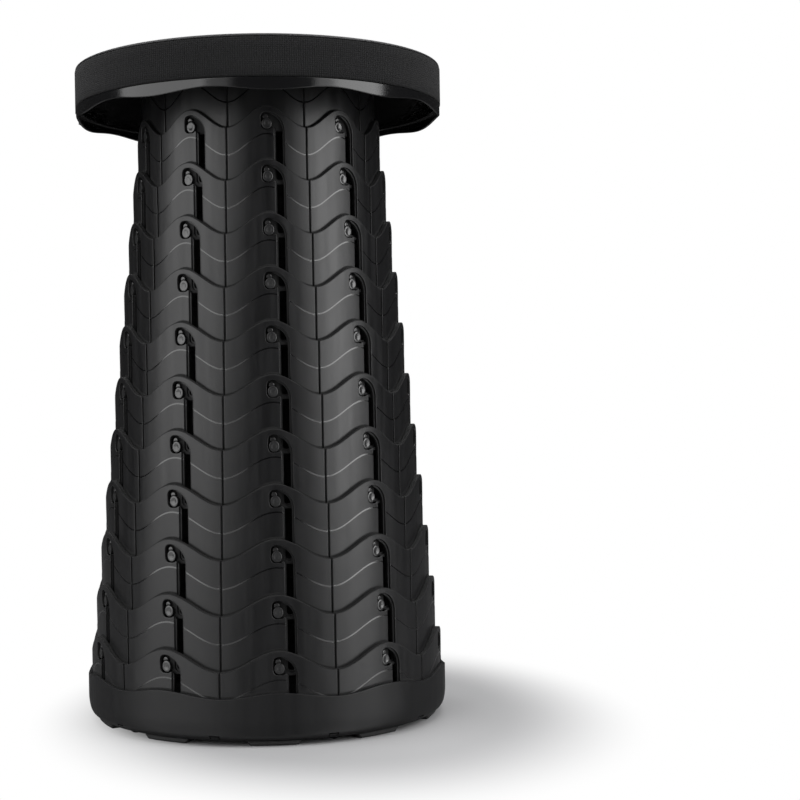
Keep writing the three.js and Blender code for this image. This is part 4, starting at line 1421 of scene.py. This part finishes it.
def add_loop():
    neck = LOOP_NECK / LAYER_MIDDLE
    tab = LOOP_TAB / LAYER_MIDDLE
    side = [(LOOP_NECK, share) for share in LOOP_NECK_SHARES]
    side += [(LOOP_HALF_WIDTH * wide, share) for wide, share in LOOP_SWELL_SHARES]

    def outwards(sideways, share):
        reach = LAYER_MIDDLE * math.cos(neck) + share * LOOP_HEIGHT
        return on_column(LOOP_TURN + math.atan2(sideways, reach), math.hypot(sideways, reach), 0)[:2]

    def half(sign):
        tabs = [on_layer(sign * (neck + tab * share)) for share in (1, 0.5, 0.2)]
        return tabs + [outwards(sign * sideways, share) for sideways, share in side]

    path = smooth_path([*half(-1), outwards(0, 1), *reversed(half(1))], LOOP_STEPS)
    away = np.linalg.norm(np.asarray(path), axis=1) - LAYER_MIDDLE
    lifts = LOOP_LIFT * np.sin(np.clip(away / LOOP_HEIGHT, 0, 1) * math.pi / 2)
    add_webbing("carry_loop", path, lifts=lifts)


OVERLAP_TURN = math.radians(-92)
OVERLAP_LENGTH = 66 * MM
OVERLAP_STEPS = 50


def add_overlap():
    half = OVERLAP_LENGTH / 2 / LAYER_MIDDLE
    shares = np.linspace(-1, 1, OVERLAP_STEPS)
    add_webbing("strap_overlap", [on_layer(OVERLAP_TURN + half * share, LAYER_PLAY) for share in shares])


ADJUSTER_TURN = math.radians(47)
ADJUSTER_LENGTH = 26 * MM
ADJUSTER_BAR = 3.6 * MM
ADJUSTER_DEPTH = 4.6 * MM
TAIL_LENGTH = 34 * MM
TAIL_LEAD = 20 * MM
TAIL_STEPS = 90


def add_tail():
    hump = ADJUSTER_DEPTH - WEBBING - CLEARANCE
    window = (ADJUSTER_LENGTH - 2 * ADJUSTER_BAR) / 2 / LAYER_MIDDLE
    path = []
    for angle in np.linspace(-TAIL_LEAD / LAYER_MIDDLE, TAIL_LENGTH / LAYER_MIDDLE, TAIL_STEPS):
        near = min(abs(angle) / window, 1)
        path.append(on_layer(ADJUSTER_TURN + angle, hump * (1 - near ** 2) ** 2 + LAYER_PLAY))
    add_webbing("strap_tail", path, body="strap_slide")


add_band()
add_loop()
add_overlap()
add_tail()


# Adjuster. A dark moulded slide with two rails and three bars: the strap's free end climbs over
# the middle bar and is pinched against the end bars.
ADJUSTER_RAIL = 3.2 * MM
ADJUSTER_ROUND = 0.5 * MM
ADJUSTER_GRAIN = 0.3 * MM
ADJUSTER_GRAIN_DEPTH = 0.02 * MM
ADJUSTER_GLOSS = (0.22, 0.34)
ADJUSTER_BLACK = (0.016, 0.016, 0.017, 1)


def adjuster_plastic():
    material, tree, shader, place = new_material("adjuster_plastic", {"Base Color": ADJUSTER_BLACK})
    grained(tree, shader, place, ADJUSTER_GRAIN, ADJUSTER_GRAIN_DEPTH, ADJUSTER_GLOSS)
    return material


def add_adjuster():
    inner = LAYER_MIDDLE - WEBBING / 2 + LAYER_PLAY
    outer = inner + ADJUSTER_DEPTH
    half = ADJUSTER_LENGTH / 2
    bar = ADJUSTER_BAR / 2
    end_bar = half - ADJUSTER_BAR
    width = (band_high.z - band_low.z) / 2 + CLEARANCE
    middle = (band_high.z + band_low.z) / 2
    passage = WEBBING + 2 * CLEARANCE

    def slab(left, right, tall, near, far):
        outline = oblong(left, right, -tall, tall)
        return radial_block("slab", outline, LOOP_TURN + ADJUSTER_TURN, middle, near, far)

    body = slab(-half, half, width + ADJUSTER_RAIL, inner, outer)
    for left, right, near, far in (
        (-end_bar, -bar, inner - OVERCUT, outer + OVERCUT),
        (bar, end_bar, inner - OVERCUT, outer + OVERCUT),
        (-half - OVERCUT, -bar, inner - OVERCUT, inner + passage),
        (bar, half + OVERCUT, inner - OVERCUT, inner + passage),
        (-end_bar, end_bar, outer - passage - WEBBING, outer + OVERCUT),
    ):
        body = cut(body, slab(left, right, width, near, far))
    piece = soft_edged(piece_of("strap_adjuster_look", body), ADJUSTER_ROUND, 3)
    finish_piece(piece, adjuster_plastic(), "strap_slide", ["strap_adjuster"])


add_adjuster()
